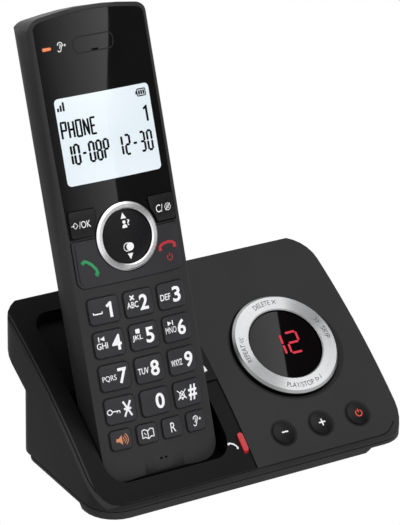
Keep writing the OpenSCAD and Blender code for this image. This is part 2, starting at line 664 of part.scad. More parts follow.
module handset_front_shell() handset_part("#303032") difference() {
  union() {
    difference() {
      intersection() {
        handset_body(0);
        front_half();
      }
      intersection() {
        handset_body(shell_t);
        translate([-40, -100, -40]) cube([80, 200, 40 - face_t]);
      }
    }
    for (p = screws_at) translate([p[0], p[1], 0]) tube(-boss_end, -face_t + 1, 2.6);
  }
  for (p = screws_at) translate([p[0], p[1], 0]) tube(-boss_end - 1, -face_t - 1, 0.9);
  intersection() {
    lens_plan(-seat_gap);
    above_crown(lens_t + 0.04);
  }
  translate([-lcd_w / 2, lcd_v - lcd_h / 2, -6]) cube([lcd_w, lcd_h, 9]);
  for (col = [-1 : 1]) for (row = [-1 : 2]) face_hole(number_outline(col, row));
  for (i = [0 : 3]) face_hole(small_at(i));
  difference() {
    union() {
      face_hole(soft_right_outline);
      face_hole(mirrored(soft_right_outline));
      face_hole(call_outline);
    }
    tube(-9, 9, nav_ring_r + 0.1);
  }
  tube(-9, 9, nav_hole_r);
  tube(-1.2, 5, nav_ring_r + 0.05);
  for (x = [-1, 1]) translate([x, mic_v, -9]) cylinder(h = 12, r = 0.5);
  translate([ear_at[0] - 1.6, ear_at[1] - 2.9, -9]) cube([3.2, 0.9, 12]);
  light_box(seat_gap, -9, 3);
}
module light_box(t, w0, w1) translate([light_at[0] - 1.8 - t, light_at[1] - 0.65 - t, w0])
  cube([3.6 + 2 * t, 1.3 + 2 * t, w1 - w0]);

bay_hw = 2 * cell_r + 0.3;
bay_v0 = cell_v - cell_l / 2 - 2.4;
bay_v1 = cell_v + cell_l / 2 + 2.4;
door_v = 7;
bay_w = thick - door_t - 0.4 - 2 * cell_r;
door_outline = box_outline(-door_w / 2, door_v - door_l / 2, door_w / 2, door_v + door_l / 2, 2);
module handset_back_shell() handset_part("#303032") difference() {
  union() {
    difference() {
      intersection() {
        handset_body(0);
        translate([-40, -100, -40]) cube([80, 200, 40 - split_w]);
      }
      handset_body(shell_t);
    }
    difference() {
      slab(-thick + door_t, -bay_w + 1, rounded(inset(box_outline(-bay_hw, bay_v0, bay_hw, bay_v1, 0), -1.2)));
      slab(-thick, -bay_w, box_outline_xy(-bay_hw, bay_v0, bay_hw, bay_v1));
    }
    intersection() {
      handset_body(0.5);
      difference() {
        slab(-thick + door_t, -thick + door_t + 1.2, rounded(inset(door_outline, -2)));
        slab(-thick, -bay_w, box_outline_xy(-bay_hw, bay_v0, bay_hw, bay_v1));
      }
    }
    intersection() {
      handset_body(0.5);
      for (p = screws_at) translate([p[0], p[1], 0]) tube(-thick, -boss_end - 0.05, 3);
    }
  }
  slab(-thick - 1, -thick + door_t, rounded(inset(door_outline, -0.15)));
  for (p = screws_at) translate([p[0], p[1], 0]) {
    tube(-thick - 5, -boss_end + 1, 1.15);
    tube(-thick - 5, -boss_end - 1.5, 2.3);
  }
  handset_pads(0.05);
}
module handset_pads(t) for (side = [-1, 1])
  translate([side * contact_dx, (heel_v + back_v) / 2, -(heel_w + thick) / 2])
    rotate([atan2(heel_w - thick, back_v - heel_v), 0, 0])
      translate([-2.5 - t, -2 - t, -t]) cube([5 + 2 * t, 4 + 2 * t, 0.8 + t]);
module handset_contacts() handset_part("gold") handset_pads(0);
module handset_screws() handset_part("silver") for (p = screws_at) translate([p[0], p[1], 0]) {
  tube(-boss_end - 1.5, -6, 0.85);
  tube(-boss_end - 3, -boss_end - 1.5, 2.1);
}

module display_lens() handset_part("#0c0c0e") difference() {
  intersection() {
    lens_plan(0);
    above_crown(lens_t);
    translate([0, -big / 2, -face_r]) rotate([-90, 0, 0]) cylinder(h = big, r = face_r + 0.05, $fn = 360);
  }
  for (pts = [soft_right_outline, mirrored(soft_right_outline)]) slab(-9, 9, rounded(inset(pts, -key_gap)));
  tube(-9, 9, ring_clear);
  translate([ear_at[0] - 1.5, ear_at[1] - 2.9, -9]) cube([3, 0.9, 12]);
  light_box(seat_gap, -9, 3);
}
module indicator_light() handset_part("#ff7a20") light_box(0, -board_w, crown(light_at[0]) + 0.12);
board_w = 6.6;
module lcd_panel() handset_part("#dfe8f0") union() {
  translate([-lcd_w / 2 - 1.2, lcd_v - lcd_h / 2 - 1.8, -board_w]) cube([lcd_w + 2.4, lcd_h + 3.6, board_w - face_t]);
  translate([-lcd_w / 2 + 0.1, lcd_v - lcd_h / 2 + 0.1, -face_t - 0.01]) cube([lcd_w - 0.2, lcd_h - 0.2, face_t - lens_t - 1.9]);
}
module handset_circuit_board() handset_part("#1f5a34") difference() {
  union() {
    slab(-board_w - 1.4, -board_w, rounded([[-19.6, -74, 1], [-11, -74, 0], [-11, -83.3, 1], [11, -83.3, 1],
      [11, -74, 0], [19.6, -74, 1], [19.6, 76, 3], [-19.6, 76, 3]]));
    for (p = [[0, -55, 14, 10], [-9, -35, 8, 8], [8, 44, 12, 12], [-10, 40, 6, 9]])
      translate([p[0] - p[2] / 2, p[1] - p[3] / 2, -board_w - 2.6]) cube([p[2], p[3], 1.3]);
  }
  for (p = screws_at) translate([p[0], p[1], 0]) tube(-30, 0, 2.8);
}
mat_top = board_w - 0.7;
module keypad_mat() handset_part("#5a5a5c") difference() {
  union() {
    slab(-board_w, -mat_top, rounded(box_outline(-19.5, -77, 19.5, 15, 1)));
    for (col = [-1 : 1]) for (row = [-1 : 2]) let (p = key_place(col, row)) dome(p[0], p[1], 2.5, key_floor);
    for (i = [0 : 3]) dome((i - 1.5) * small_dx, -small_v, 2, key_floor);
    for (x = [-1, 1]) {
      dome(x * 17, 7.5, 2, key_floor);
      dome(x * 16, -8, 2, 3.65);
    }
    for (y = [-6.5, 6.5]) dome(0, y, 1.5, 3.55);
    translate([-3.5, -1, -mat_top - 0.1]) cube([7, 2, mat_top + 0.1 - 3.1 - pad_r - 0.02]);
    translate([-1, -15.3, -mat_top - 0.1]) cube([2, 2, mat_top + 0.1 - call_axis - pad_r - 0.02]);
  }
  for (p = screws_at) translate([p[0], p[1], 0]) tube(-30, 0, 2.8);
}
key_floor = face_t + 0.8 + key_travel + 0.05;
module dome(u, v, r, top) translate([u, v, 0]) tube(-mat_top - 0.1, -top, r);

module earpiece() handset_part("#8c8c90") translate([ear_at[0], ear_at[1] - 0.5, 0]) {
  tube(-board_w, -4.2, 7);
  tube(-4.3, -3.9, 6, 3);
}
module microphone() handset_part("#8c8c90") translate([0, mic_v, 0]) tube(-board_w, -4.6, 1.2);
module ringer() handset_part("#26262a") translate([0, 62, 0]) tube(-board_w - 1.4 - 3.2, -board_w - 1.4, 8, 1);

cell_w = -(bay_w + 2 * cell_r) + cell_r;
module battery_cells() handset_part("#4f8f5f") for (side = [-1, 1])
  translate([side * (cell_r + 0.05), cell_v, cell_w]) rotate([side * 90, 0, 0]) {
    cylinder(h = cell_l - 1, r = cell_r, center = true);
    translate([0, 0, cell_l / 2 - 0.6]) cylinder(h = 1, r = 1.9);
  }
module battery_contacts() handset_part("silver") for (side = [-1, 1]) for (end = [-1, 1])
  translate([side * (cell_r + 0.05), 0, cell_w]) {
    translate([-4, end > 0 ? bay_v1 - 0.4 : bay_v0, -4]) cube([8, 0.4, 8]);
    if (end == side) translate([0, end > 0 ? bay_v1 - 0.3 : bay_v0 + 0.3, 0]) rotate([end * 90, 0, 0])
      cylinder(h = 2.5, r1 = 3, r2 = 2);
  }
module battery_door() handset_part("#303032") difference() {
  union() {
    intersection() {
      handset_body(0);
      slab(-thick - 1, -thick + door_t, rounded(door_outline));
    }
  }
  for (i = [0 : 4]) translate([-6, door_v + 19 + i * 1.6, -thick - 0.5]) cube([12, 0.7, 0.9]);
}

base_bottom_shell();
base_top_shell();
cradle_insert();
rubber_feet();
base_screws();
speaker();
base_circuit_board();
button_board();
base_switches();
digit_display();
display_window();
ring_carrier();
message_ring();
volume_down_button();
volume_up_button();
power_button();
find_handset_button();
in_use_light();
charge_contact_left();
charge_contact_right();
line_socket();
power_socket();
handset_front_shell();
handset_back_shell();
display_lens();
lcd_panel();
nav_ring();
nav_rocker();
call_key();
soft_key_left();
soft_key_right();
key_1();
key_2();
key_3();
key_4();
key_5();
key_6();
key_7();
key_8();
key_9();
key_star();
key_0();
key_hash();
speaker_key();
phonebook_key();
recall_key();
boost_key();
keypad_mat();
handset_circuit_board();
earpiece();
microphone();
ringer();
indicator_light();
handset_contacts();
battery_cells();
battery_contacts();
battery_door();
handset_screws();
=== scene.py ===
import math
import bmesh
import bpy
from mathutils import Matrix, Vector


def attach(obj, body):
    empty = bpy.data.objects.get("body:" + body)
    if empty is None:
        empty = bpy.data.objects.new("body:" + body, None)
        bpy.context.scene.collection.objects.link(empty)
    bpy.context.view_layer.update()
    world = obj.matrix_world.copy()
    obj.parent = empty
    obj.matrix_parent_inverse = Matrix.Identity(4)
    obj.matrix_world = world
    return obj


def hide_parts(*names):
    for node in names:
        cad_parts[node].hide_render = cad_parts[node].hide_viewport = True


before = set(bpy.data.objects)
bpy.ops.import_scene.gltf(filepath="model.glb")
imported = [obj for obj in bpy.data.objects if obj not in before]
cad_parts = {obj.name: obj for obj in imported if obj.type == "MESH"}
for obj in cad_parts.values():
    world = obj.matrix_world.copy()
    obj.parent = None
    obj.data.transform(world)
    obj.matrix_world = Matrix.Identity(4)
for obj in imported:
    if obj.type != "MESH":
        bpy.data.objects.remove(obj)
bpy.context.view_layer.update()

scene = bpy.context.scene
MM = 0.001

# ---- Places on the machine, in millimetres of the source's design frame ----
SHIFT = Vector((0.75, -42.8796, 0.0))  # from the design frame to the row's frame
LEAN = math.radians(20.4)              # the handset's lean from upright
NAV_PAD = Vector((-33.7, 42.9, 89.8))  # middle of the navigation pad, zero of the handset's face
FACE_R = 130.0                         # the handset's crowned face
DOME_R = 300.0                         # the base's domed top
DOME_SLOPE = math.radians(35.5)        # its slope at the point below
DOME_Y, DOME_Z = 29.7, 26.5
ARC_Y = DOME_Y + DOME_R * math.sin(DOME_SLOPE)
ARC_Z = DOME_Z - DOME_R * math.cos(DOME_SLOPE)
RING_SLOPE = math.radians(36.0)
RING_X, RING_Y = 33.0, 38.5

# Heights of marks over the surface that a place function follows
KEY_TOP, CALL_KEY_TOP, ROCKER_TOP = 0.8, 0.54, 0.8
CALL_KEY_FLANGE = -0.76                # the flange's height near the call key's ends
LENS_TOP, PICTURE_TOP, SIGNS_TOP = 0.05, 0.06, 0.13
RING_TOP, WINDOW_TOP, BUTTON_TOP = 1.5, 0.62, 1.1

ROCKER_R, BUTTON_R = 70.0, 16.0        # the crowns of the rocker and the round buttons
BUTTON_Y = 11.0
DOWN_X, UP_X, POWER_X = 32.3 - 16.4, 32.3, 32.3 + 16.4
# The radius of the painted shade ring in the gap round each round button
BUTTON_GAP_R = 4.9
RING_PRINT_R = 18.1                    # the circle of the ring's words
# Where the strip of painted shade stands in the seam beside the cradle
SEAM_X, SEAM_DEPTH = -0.06, 0.32       # the seam beside the cradle, and how far it lies under the top


def row(point):
    """A point of the design frame, in metres of the row's frame."""
    return (Vector(point) + SHIFT) * MM


def dome_angle(y):
    """The slope of the base's top this far back."""
    return math.asin((ARC_Y - y) / DOME_R)


def dome_height(y):
    """The height of the base's top this far back."""
    return ARC_Z + DOME_R * math.cos(dome_angle(y))


def on_handset(u, v, w):
    """A point of the handset: right, up along its face, out of its face."""
    side = Vector((1, 0, 0))
    up = Vector((0, math.sin(LEAN), math.cos(LEAN)))
    out = Vector((0, -math.cos(LEAN), math.sin(LEAN)))
    return row(NAV_PAD + side * u + up * v + out * w)


def on_face(proud):
    """Places a flat mark on the crowned face, so far out of it."""
    radius = FACE_R + proud
    return lambda p: on_handset(p[0], p[1], math.sqrt(radius * radius - p[0] * p[0]) - FACE_R + p[2])


def on_call_key(p):
    """Places a flat mark on the call key, whose flange stands out of its crown near its two ends."""
    radius = FACE_R + CALL_KEY_TOP
    top = math.sqrt(radius * radius - p[0] * p[0]) - FACE_R
    return on_handset(p[0], p[1], max(top, CALL_KEY_FLANGE) + p[2])


def crown(radius, p):
    """The height of a sphere at this point, seen from its topmost point."""
    return math.sqrt(radius * radius - p[0] * p[0] - p[1] * p[1]) - radius


def on_rocker(p):
    """Places a flat mark on the navigation rocker, whose top is part of a sphere."""
    return on_handset(p[0], p[1], crown(ROCKER_R, p) + ROCKER_TOP + p[2])


def on_dome(x, y, proud=0.0):
    """Places a flat mark on the base's sloping top, with its middle at x, y."""
    angle = dome_angle(y)
    along = Vector((0, math.cos(angle), math.sin(angle)))
    out = Vector((0, -math.sin(angle), math.cos(angle)))
    middle = Vector((x, y, dome_height(y)))
    return lambda p: row(middle + Vector((p[0], 0, 0)) + along * p[1]
                         + out * (p[2] + proud - p[1] * p[1] / (2 * DOME_R)))


def on_ring(proud):
    """Places a flat mark on the message ring or its window."""
    along = Vector((0, math.cos(RING_SLOPE), math.sin(RING_SLOPE)))
    out = Vector((0, -math.sin(RING_SLOPE), math.cos(RING_SLOPE)))
    middle = Vector((RING_X, RING_Y, dome_height(RING_Y)))
    return lambda p: row(middle + Vector((p[0], 0, 0)) + along * p[1] + out * (p[2] + proud))


def on_button(x):
    """Places a flat mark on the domed crown of a round button."""
    flat = on_dome(x, BUTTON_Y, BUTTON_TOP)
    return lambda p: flat((p[0], p[1], p[2] + crown(BUTTON_R, p)))


def on_arc(middle, inside=False):
    """Bends flat words round the ring, from this angle clockwise of its top; inside turns their feet outwards."""
    flat = on_ring(RING_TOP)
    turn = -1 if inside else 1

    def place(p):
        angle = math.radians(middle) + turn * p[0] / RING_PRINT_R
        reach = RING_PRINT_R + turn * p[1]
        return flat((reach * math.sin(angle), reach * math.cos(angle), p[2]))
    return place


def on_cradle_side(p):
    """Stands a flat mark upright beside the cradle, where it follows the curve of the base's top: the strip of painted
    shade in the seam.
    """
    return row((SEAM_X - p[2], p[1], dome_height(p[1]) - SEAM_DEPTH + p[0]))


def add_object(name, sheet, material=None):
    """Makes a scene object of a bmesh, and frees the bmesh."""
    mesh = bpy.data.meshes.new(name)
    sheet.to_mesh(mesh)
    sheet.free()
    if material:
        mesh.materials.append(material)
    made = bpy.data.objects.new(name, mesh)
    scene.collection.objects.link(made)
    return made


# ---- Finishes ----
NOISE_LOW, NOISE_HIGH = 0.3, 0.7  # most of a noise's values lie between these


def new_material(name):
    """A node material, its tree and its shader."""
    material = bpy.data.materials.new(name)
    material.use_nodes = True
    tree = material.node_tree
    shader = next(n for n in tree.nodes if n.type == "BSDF_PRINCIPLED")
    return material, tree, shader


def object_noise(tree, scale, detail=2.0):
    """Noise on the piece's own object coordinates."""
    coords = tree.nodes.new("ShaderNodeTexCoord")
    noise = tree.nodes.new("ShaderNodeTexNoise")
    noise.inputs["Scale"].default_value = scale
    noise.inputs["Detail"].default_value = detail
    tree.links.new(coords.outputs["Object"], noise.inputs["Vector"])
    return noise.outputs["Fac"]


def spread(tree, value, low, high, target):
    """Feeds a value, spread between two numbers, to a socket."""
    span = tree.nodes.new("ShaderNodeMapRange")
    span.inputs["From Min"].default_value = NOISE_LOW
    span.inputs["From Max"].default_value = NOISE_HIGH
    span.inputs["To Min"].default_value = low
    span.inputs["To Max"].default_value = high
    tree.links.new(value, span.inputs["Value"])
    tree.links.new(span.outputs["Result"], target)


def tinted(tree, value, dark, light, target):
    """Feeds a colour between two colours to a socket."""
    ramp = tree.nodes.new("ShaderNodeValToRGB")
    ramp.color_ramp.elements[0].position = NOISE_LOW
    ramp.color_ramp.elements[1].position = NOISE_HIGH
    ramp.color_ramp.elements[0].color = (*dark, 1)
    ramp.color_ramp.elements[1].color = (*light, 1)
    tree.links.new(value, ramp.inputs["Fac"])
    tree.links.new(ramp.outputs["Color"], target)


def bumped(tree, shader, value, depth, strength=1.0):
    """Lets a value raise the surface by up to this depth in metres."""
    bump = tree.nodes.new("ShaderNodeBump")
    bump.inputs["Strength"].default_value = strength
    bump.inputs["Distance"].default_value = depth
    tree.links.new(value, bump.inputs["Height"])
    tree.links.new(bump.outputs["Normal"], shader.inputs["Normal"])


def uneven(tree, shader, value, colour, vary):
    """A base colour that wanders a little to both sides of this one."""
    dark, light = [c * (1 - vary) for c in colour], [c * (1 + vary) for c in colour]
    tinted(tree, value, dark, light, shader.inputs["Base Color"])


def moulded_plastic(name, colour, roughness, grain=2600, depth=0.00001, specular=0.35):
    """Plastic with a fine eroded mould texture and a slight unevenness of colour and gloss."""
    material, tree, shader = new_material(name)
    uneven(tree, shader, object_noise(tree, 45, 3), colour, 0.08)
    fine = object_noise(tree, grain, 2)
    spread(tree, fine, roughness - 0.05, roughness + 0.05, shader.inputs["Roughness"])
    shader.inputs["Specular IOR Level"].default_value = specular
    bumped(tree, shader, fine, depth)
    return material


def gloss_plastic(name, colour, roughness):
    """Polished plastic: very slight swirls in its gloss."""
    material, tree, shader = new_material(name)
    uneven(tree, shader, object_noise(tree, 60, 2), colour, 0.15)
    spread(tree, object_noise(tree, 250, 3), roughness * 0.8, roughness * 1.3, shader.inputs["Roughness"])
    shader.inputs["Specular IOR Level"].default_value = 0.5
    return material


def ink_and_painted_shade(name, colour, glow=0.0, roughness=0.4, specular=0.3):
    """A film for screen-printed marks, lit marks and black painted shade, faintly uneven."""
    material, tree, shader = new_material(name)
    film = object_noise(tree, 900, 2)
    tinted(tree, film, [c * 0.92 for c in colour], colour, shader.inputs["Base Color"])
    spread(tree, film, roughness - 0.06, roughness + 0.06, shader.inputs["Roughness"])
    shader.inputs["Specular IOR Level"].default_value = specular
    if glow:
        tinted(tree, film, [c * 0.85 for c in colour], colour, shader.inputs["Emission Color"])
        shader.inputs["Emission Strength"].default_value = glow
    return material


def vector_math(tree, operation, first, second=None):
    """A vector node whose inputs are sockets to link or fixed vectors."""
    node = tree.nodes.new("ShaderNodeVectorMath")
    node.operation = operation
    for socket, value in zip(node.inputs, (first, second)):
        if isinstance(value, bpy.types.NodeSocket):
            tree.links.new(value, socket)
        elif value is not None:
            socket.default_value = value
    return node


def turned_metal(name, colour, roughness, centre, slope, painted_shade_at, painted_shade_factor):
    """Metal brushed in circles: fine concentric lines, stretched highlights, and painted shade: two darker fans that
    face each other, standing in for the dark sweeps of its brushed reflection.
    """
    material, tree, shader = new_material(name)
    coords = tree.nodes.new("ShaderNodeTexCoord")
    shifted = vector_math(tree, "SUBTRACT", coords.outputs["Object"], centre).outputs["Vector"]
    axis = Vector((0, -math.sin(slope), math.cos(slope)))
    around = vector_math(tree, "CROSS_PRODUCT", axis, shifted).outputs["Vector"]
    radius = vector_math(tree, "LENGTH", around).outputs["Value"]
    brushed = tree.nodes.new("ShaderNodeTexNoise")
    brushed.noise_dimensions = "1D"
    brushed.inputs["Scale"].default_value = 9000
    brushed.inputs["Detail"].default_value = 2
    tree.links.new(radius, brushed.inputs["W"])
    spread(tree, brushed.outputs["Fac"], roughness - 0.04, roughness + 0.06, shader.inputs["Roughness"])
    # Colour: the brushed lines' tint times painted shade, two darker fans that face each other round the ring's axis,
    # centred at the given angle.
    grain = tree.nodes.new("ShaderNodeMix")
    grain.data_type = "RGBA"
    grain.blend_type = "MULTIPLY"
    grain.inputs["Factor"].default_value = 1.0
    tinted(tree, brushed.outputs["Fac"], [c * 0.9 for c in colour], colour, grain.inputs["A"])
    right = Vector((1, 0, 0))
    bearing = tree.nodes.new("ShaderNodeMath")
    bearing.operation = "ARCTAN2"
    for socket, side in zip(bearing.inputs, (axis.cross(right), right)):
        tree.links.new(vector_math(tree, "DOT_PRODUCT", shifted, side).outputs["Value"], socket)
    twice = tree.nodes.new("ShaderNodeMath")
    twice.operation = "MULTIPLY_ADD"
    twice.inputs[1].default_value = 2.0
    twice.inputs[2].default_value = -2.0 * math.radians(painted_shade_at)
    tree.links.new(bearing.outputs[0], twice.inputs[0])
    wave = tree.nodes.new("ShaderNodeMath")
    wave.operation = "COSINE"
    tree.links.new(twice.outputs[0], wave.inputs[0])
    painted_shade_fan = tree.nodes.new("ShaderNodeMapRange")
    painted_shade_fan.interpolation_type = "SMOOTHSTEP"
    painted_shade_fan.inputs["From Min"].default_value = 0.35
    painted_shade_fan.inputs["From Max"].default_value = 1.0
    painted_shade_fan.inputs["To Min"].default_value = 1.0
    painted_shade_fan.inputs["To Max"].default_value = painted_shade_factor
    tree.links.new(wave.outputs[0], painted_shade_fan.inputs["Value"])
    tree.links.new(painted_shade_fan.outputs["Result"], grain.inputs["B"])
    tree.links.new(grain.outputs["Result"], shader.inputs["Base Color"])
    shader.inputs["Metallic"].default_value = 1.0
    shader.inputs["Anisotropic"].default_value = 0.75
    tree.links.new(vector_math(tree, "NORMALIZE", around).outputs["Vector"], shader.inputs["Tangent"])
    bumped(tree, shader, brushed.outputs["Fac"], 0.000004, 0.6)
    return material


def plated_metal(name, colour, roughness=0.25):
    """Plated or plain metal with a fine, faint grain."""
    material, tree, shader = new_material(name)
    fine = object_noise(tree, 700, 3)
    tinted(tree, fine, [c * 0.9 for c in colour], colour, shader.inputs["Base Color"])
    spread(tree, fine, roughness - 0.05, roughness + 0.08, shader.inputs["Roughness"])
    shader.inputs["Metallic"].default_value = 1.0
    bumped(tree, shader, fine, 0.000004)
    return material


def circuit_board(name):
    """Lacquered board with a pattern of tracks under the lacquer."""
    material, tree, shader = new_material(name)
    coords = tree.nodes.new("ShaderNodeTexCoord")
    tracks = tree.nodes.new("ShaderNodeTexBrick")
    tracks.inputs["Scale"].default_value = 160
    tracks.inputs["Color1"].default_value = (0.03, 0.16, 0.07, 1)
    tracks.inputs["Color2"].default_value = (0.02, 0.11, 0.05, 1)
    tracks.inputs["Mortar"].default_value = (0.06, 0.24, 0.1, 1)
    tree.links.new(coords.outputs["Object"], tracks.inputs["Vector"])
    tree.links.new(tracks.outputs["Color"], shader.inputs["Base Color"])
    spread(tree, object_noise(tree, 400), 0.25, 0.4, shader.inputs["Roughness"])
    return material


housing = moulded_plastic("housing_plastic", (0.018, 0.018, 0.019), 0.5, specular=0.14)
housing_low = moulded_plastic("lower_shell_plastic", (0.024, 0.024, 0.025), 0.5, specular=0.16)
cradle = moulded_plastic("cradle_plastic", (0.0045, 0.0045, 0.005), 0.4, specular=0.06)
handset_shell = moulded_plastic("handset_plastic", (0.021, 0.021, 0.022), 0.42, specular=0.2)
key_plastic = moulded_plastic("key_plastic", (0.021, 0.021, 0.024), 0.38, depth=0.000006, specular=0.25)
soft_key_plastic = moulded_plastic("soft_key_plastic", (0.008, 0.008, 0.009), 0.3, depth=0.000004, specular=0.2)
round_button_plastic = moulded_plastic("round_button_plastic", (0.0045, 0.0045, 0.005), 0.34, depth=0.000005,
                                       specular=0.1)
nav_plastic = moulded_plastic("nav_plastic", (0.006, 0.006, 0.007), 0.3, depth=0.000004, specular=0.15)
lens_gloss = gloss_plastic("lens_gloss", (0.004, 0.004, 0.0045), 0.035)
window_gloss = gloss_plastic("window_gloss", (0.0035, 0.003, 0.003), 0.012)
# Painted shade on both rings: darker fans at these angles stand in for the dark sweeps of their brushed reflections.
ring_metal = turned_metal("ring_metal", (0.43, 0.435, 0.44), 0.3, on_ring(0)((0, 0, 0)), RING_SLOPE, 37, 0.6)
pad_ring_metal = turned_metal("pad_ring_metal", (0.85, 0.85, 0.86), 0.26, on_handset(0, 0, 0),
                              math.pi / 2 - LEAN, 50, 0.5)
rubber = moulded_plastic("foot_rubber", (0.012, 0.012, 0.012), 0.75, grain=1200)
silicone = moulded_plastic("mat_silicone", (0.25, 0.25, 0.26), 0.65, grain=1500)
inner_black = moulded_plastic("inner_black_plastic", (0.02, 0.02, 0.02), 0.5)
screw_steel = plated_metal("screw_steel", (0.62, 0.62, 0.64))
gold_plate = plated_metal("gold_plate", (0.83, 0.62, 0.28), 0.2)
spring_nickel = plated_metal("spring_nickel", (0.75, 0.74, 0.72), 0.25)
switch_metal = plated_metal("switch_metal", (0.5, 0.5, 0.5), 0.35)
board_lacquer = circuit_board("board_lacquer")
cell_wrap = gloss_plastic("cell_wrap", (0.10, 0.33, 0.17), 0.2)
digit_body = gloss_plastic("digit_body", (0.05, 0.01, 0.01), 0.3)
display_body = gloss_plastic("display_body", (0.35, 0.38, 0.4), 0.3)
red_lamp = ink_and_painted_shade("red_lamp", (0.44, 0.010, 0.015), glow=0.04, roughness=0.25)
orange_lamp = ink_and_painted_shade("orange_lamp", (0.75, 0.22, 0.09), glow=0.2, roughness=0.25)
white_ink = ink_and_painted_shade("white_ink", (0.86, 0.86, 0.87))
orange_ink = ink_and_painted_shade("orange_ink", (0.62, 0.24, 0.12))
green_ink = ink_and_painted_shade("green_ink", (0.015, 0.26, 0.085))
red_ink = ink_and_painted_shade("red_ink", (0.42, 0.018, 0.032))
power_ink = ink_and_painted_shade("power_ink", (0.75, 0.07, 0.05))
ring_ink = ink_and_painted_shade("ring_ink", (0.05, 0.05, 0.055))
display_ink = ink_and_painted_shade("display_ink", (0.003, 0.003, 0.004), roughness=0.3, specular=0.05)
digit_glow = ink_and_painted_shade("digit_glow", (0.55, 0.012, 0.04), glow=0.28, roughness=0.3)
# Painted shade: a black film laid in the gaps and seams between parts, where only shade falls.
painted_gap_shade = ink_and_painted_shade("painted_gap_shade", (0.002, 0.002, 0.002), roughness=0.7)
# Painted shade: a black film for the dark slit round the earpiece.
painted_slit_shade = ink_and_painted_shade("painted_slit_shade", (0.001, 0.001, 0.001), roughness=0.6)

NUMBER_KEYS = "1 2 3 4 5 6 7 8 9 star 0 hash".split()
KEYS = ["key_" + label for label in NUMBER_KEYS]
SMALL_KEYS = ["speaker_key", "phonebook_key", "recall_key", "boost_key"]
ROUND_BUTTONS = ["volume_down_button", "volume_up_button", "power_button"]
FINISHES = {
    housing: ["base_top_shell"],
    housing_low: ["base_bottom_shell"],
    cradle: ["cradle_insert"],
    handset_shell: ["handset_front_shell", "handset_back_shell", "battery_door"],
    key_plastic: KEYS + SMALL_KEYS + ["call_key"],
    soft_key_plastic: ["soft_key_left", "soft_key_right"],
    round_button_plastic: ROUND_BUTTONS + ["find_handset_button"],
    nav_plastic: ["nav_rocker"],
    lens_gloss: ["display_lens"],
    window_gloss: ["display_window"],
    ring_metal: ["message_ring"],
    pad_ring_metal: ["nav_ring"],
    rubber: ["rubber_feet"],
    silicone: ["keypad_mat"],
    inner_black: ["ring_carrier", "line_socket", "power_socket", "ringer", "speaker"],
    screw_steel: ["base_screws", "handset_screws"],
    gold_plate: ["charge_contact_left", "charge_contact_right", "handset_contacts"],
    spring_nickel: ["battery_contacts"],
    switch_metal: ["base_switches", "earpiece", "microphone"],
    board_lacquer: ["base_circuit_board", "button_board", "handset_circuit_board"],
    cell_wrap: ["battery_cells"],
    digit_body: ["digit_display"],
    display_body: ["lcd_panel"],
    red_lamp: ["in_use_light"],
    orange_lamp: ["indicator_light"],
}
for material, names in FINISHES.items():
    for name in names:
        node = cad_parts[name]
        node.data.materials.clear()
        node.data.materials.append(material)


# ---- The handset's back shell: its solid keeps a thin skin between the battery bay and the door's recess ----
BAY_MIDDLE = Vector((0.0, 6.0, -20.6))  # of the skin, on the handset
BAY_CUT = (21.2, 49.1, 1.1)
WELD = 0.000002


def open_battery_bay():
    """Makes a back shell whose bay is open to the door, in place of the node."""
    sheet = bmesh.new()
    bmesh.ops.create_cube(sheet, size=1)
    for vertex in sheet.verts:
        vertex.co = on_handset(*(m + c * size for m, c, size in zip(BAY_MIDDLE, vertex.co, BAY_CUT)))
    bmesh.ops.recalc_face_normals(sheet, faces=sheet.faces)
    cutter = add_object("bay_cutter", sheet)
    piece = bpy.data.objects.new("handset_back_cover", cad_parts["handset_back_shell"].data.copy())
    scene.collection.objects.link(piece)
    weld = piece.modifiers.new("weld", "WELD")
    weld.merge_threshold = WELD
    cut = piece.modifiers.new("bay", "BOOLEAN")
    cut.operation = "DIFFERENCE"
    cut.solver = "EXACT"
    cut.object = cutter
    finished = bpy.data.meshes.new_from_object(piece.evaluated_get(bpy.context.evaluated_depsgraph_get()))
    piece.modifiers.clear()
    piece.data = finished
    bpy.data.objects.remove(cutter)
    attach(piece, "handset")
    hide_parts("handset_back_shell")


open_battery_bay()


# ---- Softened edges on the moulded pieces ----
def smooth_by_angle():
    """A node group that shades a piece smooth, but for edges sharper than 28 degrees."""
    group = bpy.data.node_groups.new("smooth_by_angle", "GeometryNodeTree")
    group.interface.new_socket("Geometry", in_out="INPUT", socket_type="NodeSocketGeometry")
    group.interface.new_socket("Geometry", in_out="OUTPUT", socket_type="NodeSocketGeometry")
    start, end = group.nodes.new("NodeGroupInput"), group.nodes.new("NodeGroupOutput")
    plain = group.nodes.new("GeometryNodeRemoveAttribute")
    plain.inputs["Name"].default_value = "custom_normal"
    faces = group.nodes.new("GeometryNodeSetShadeSmooth")
    edges = group.nodes.new("GeometryNodeSetShadeSmooth")
    edges.domain = "EDGE"
    edges.inputs["Shade Smooth"].default_value = False
    angle = group.nodes.new("GeometryNodeInputMeshEdgeAngle")
    sharp = group.nodes.new("FunctionNodeCompare")
    sharp.operation = "GREATER_THAN"
    sharp.inputs["B"].default_value = math.radians(28)
    link = group.links.new
    link(start.outputs[0], plain.inputs["Geometry"])
    link(plain.outputs["Geometry"], faces.inputs["Geometry"])
    link(faces.outputs["Geometry"], edges.inputs["Geometry"])
    link(angle.outputs["Unsigned Angle"], sharp.inputs["A"])
    link(sharp.outputs["Result"], edges.inputs["Selection"])
    link(edges.outputs["Geometry"], end.inputs[0])
    return group


SMOOTH = smooth_by_angle()


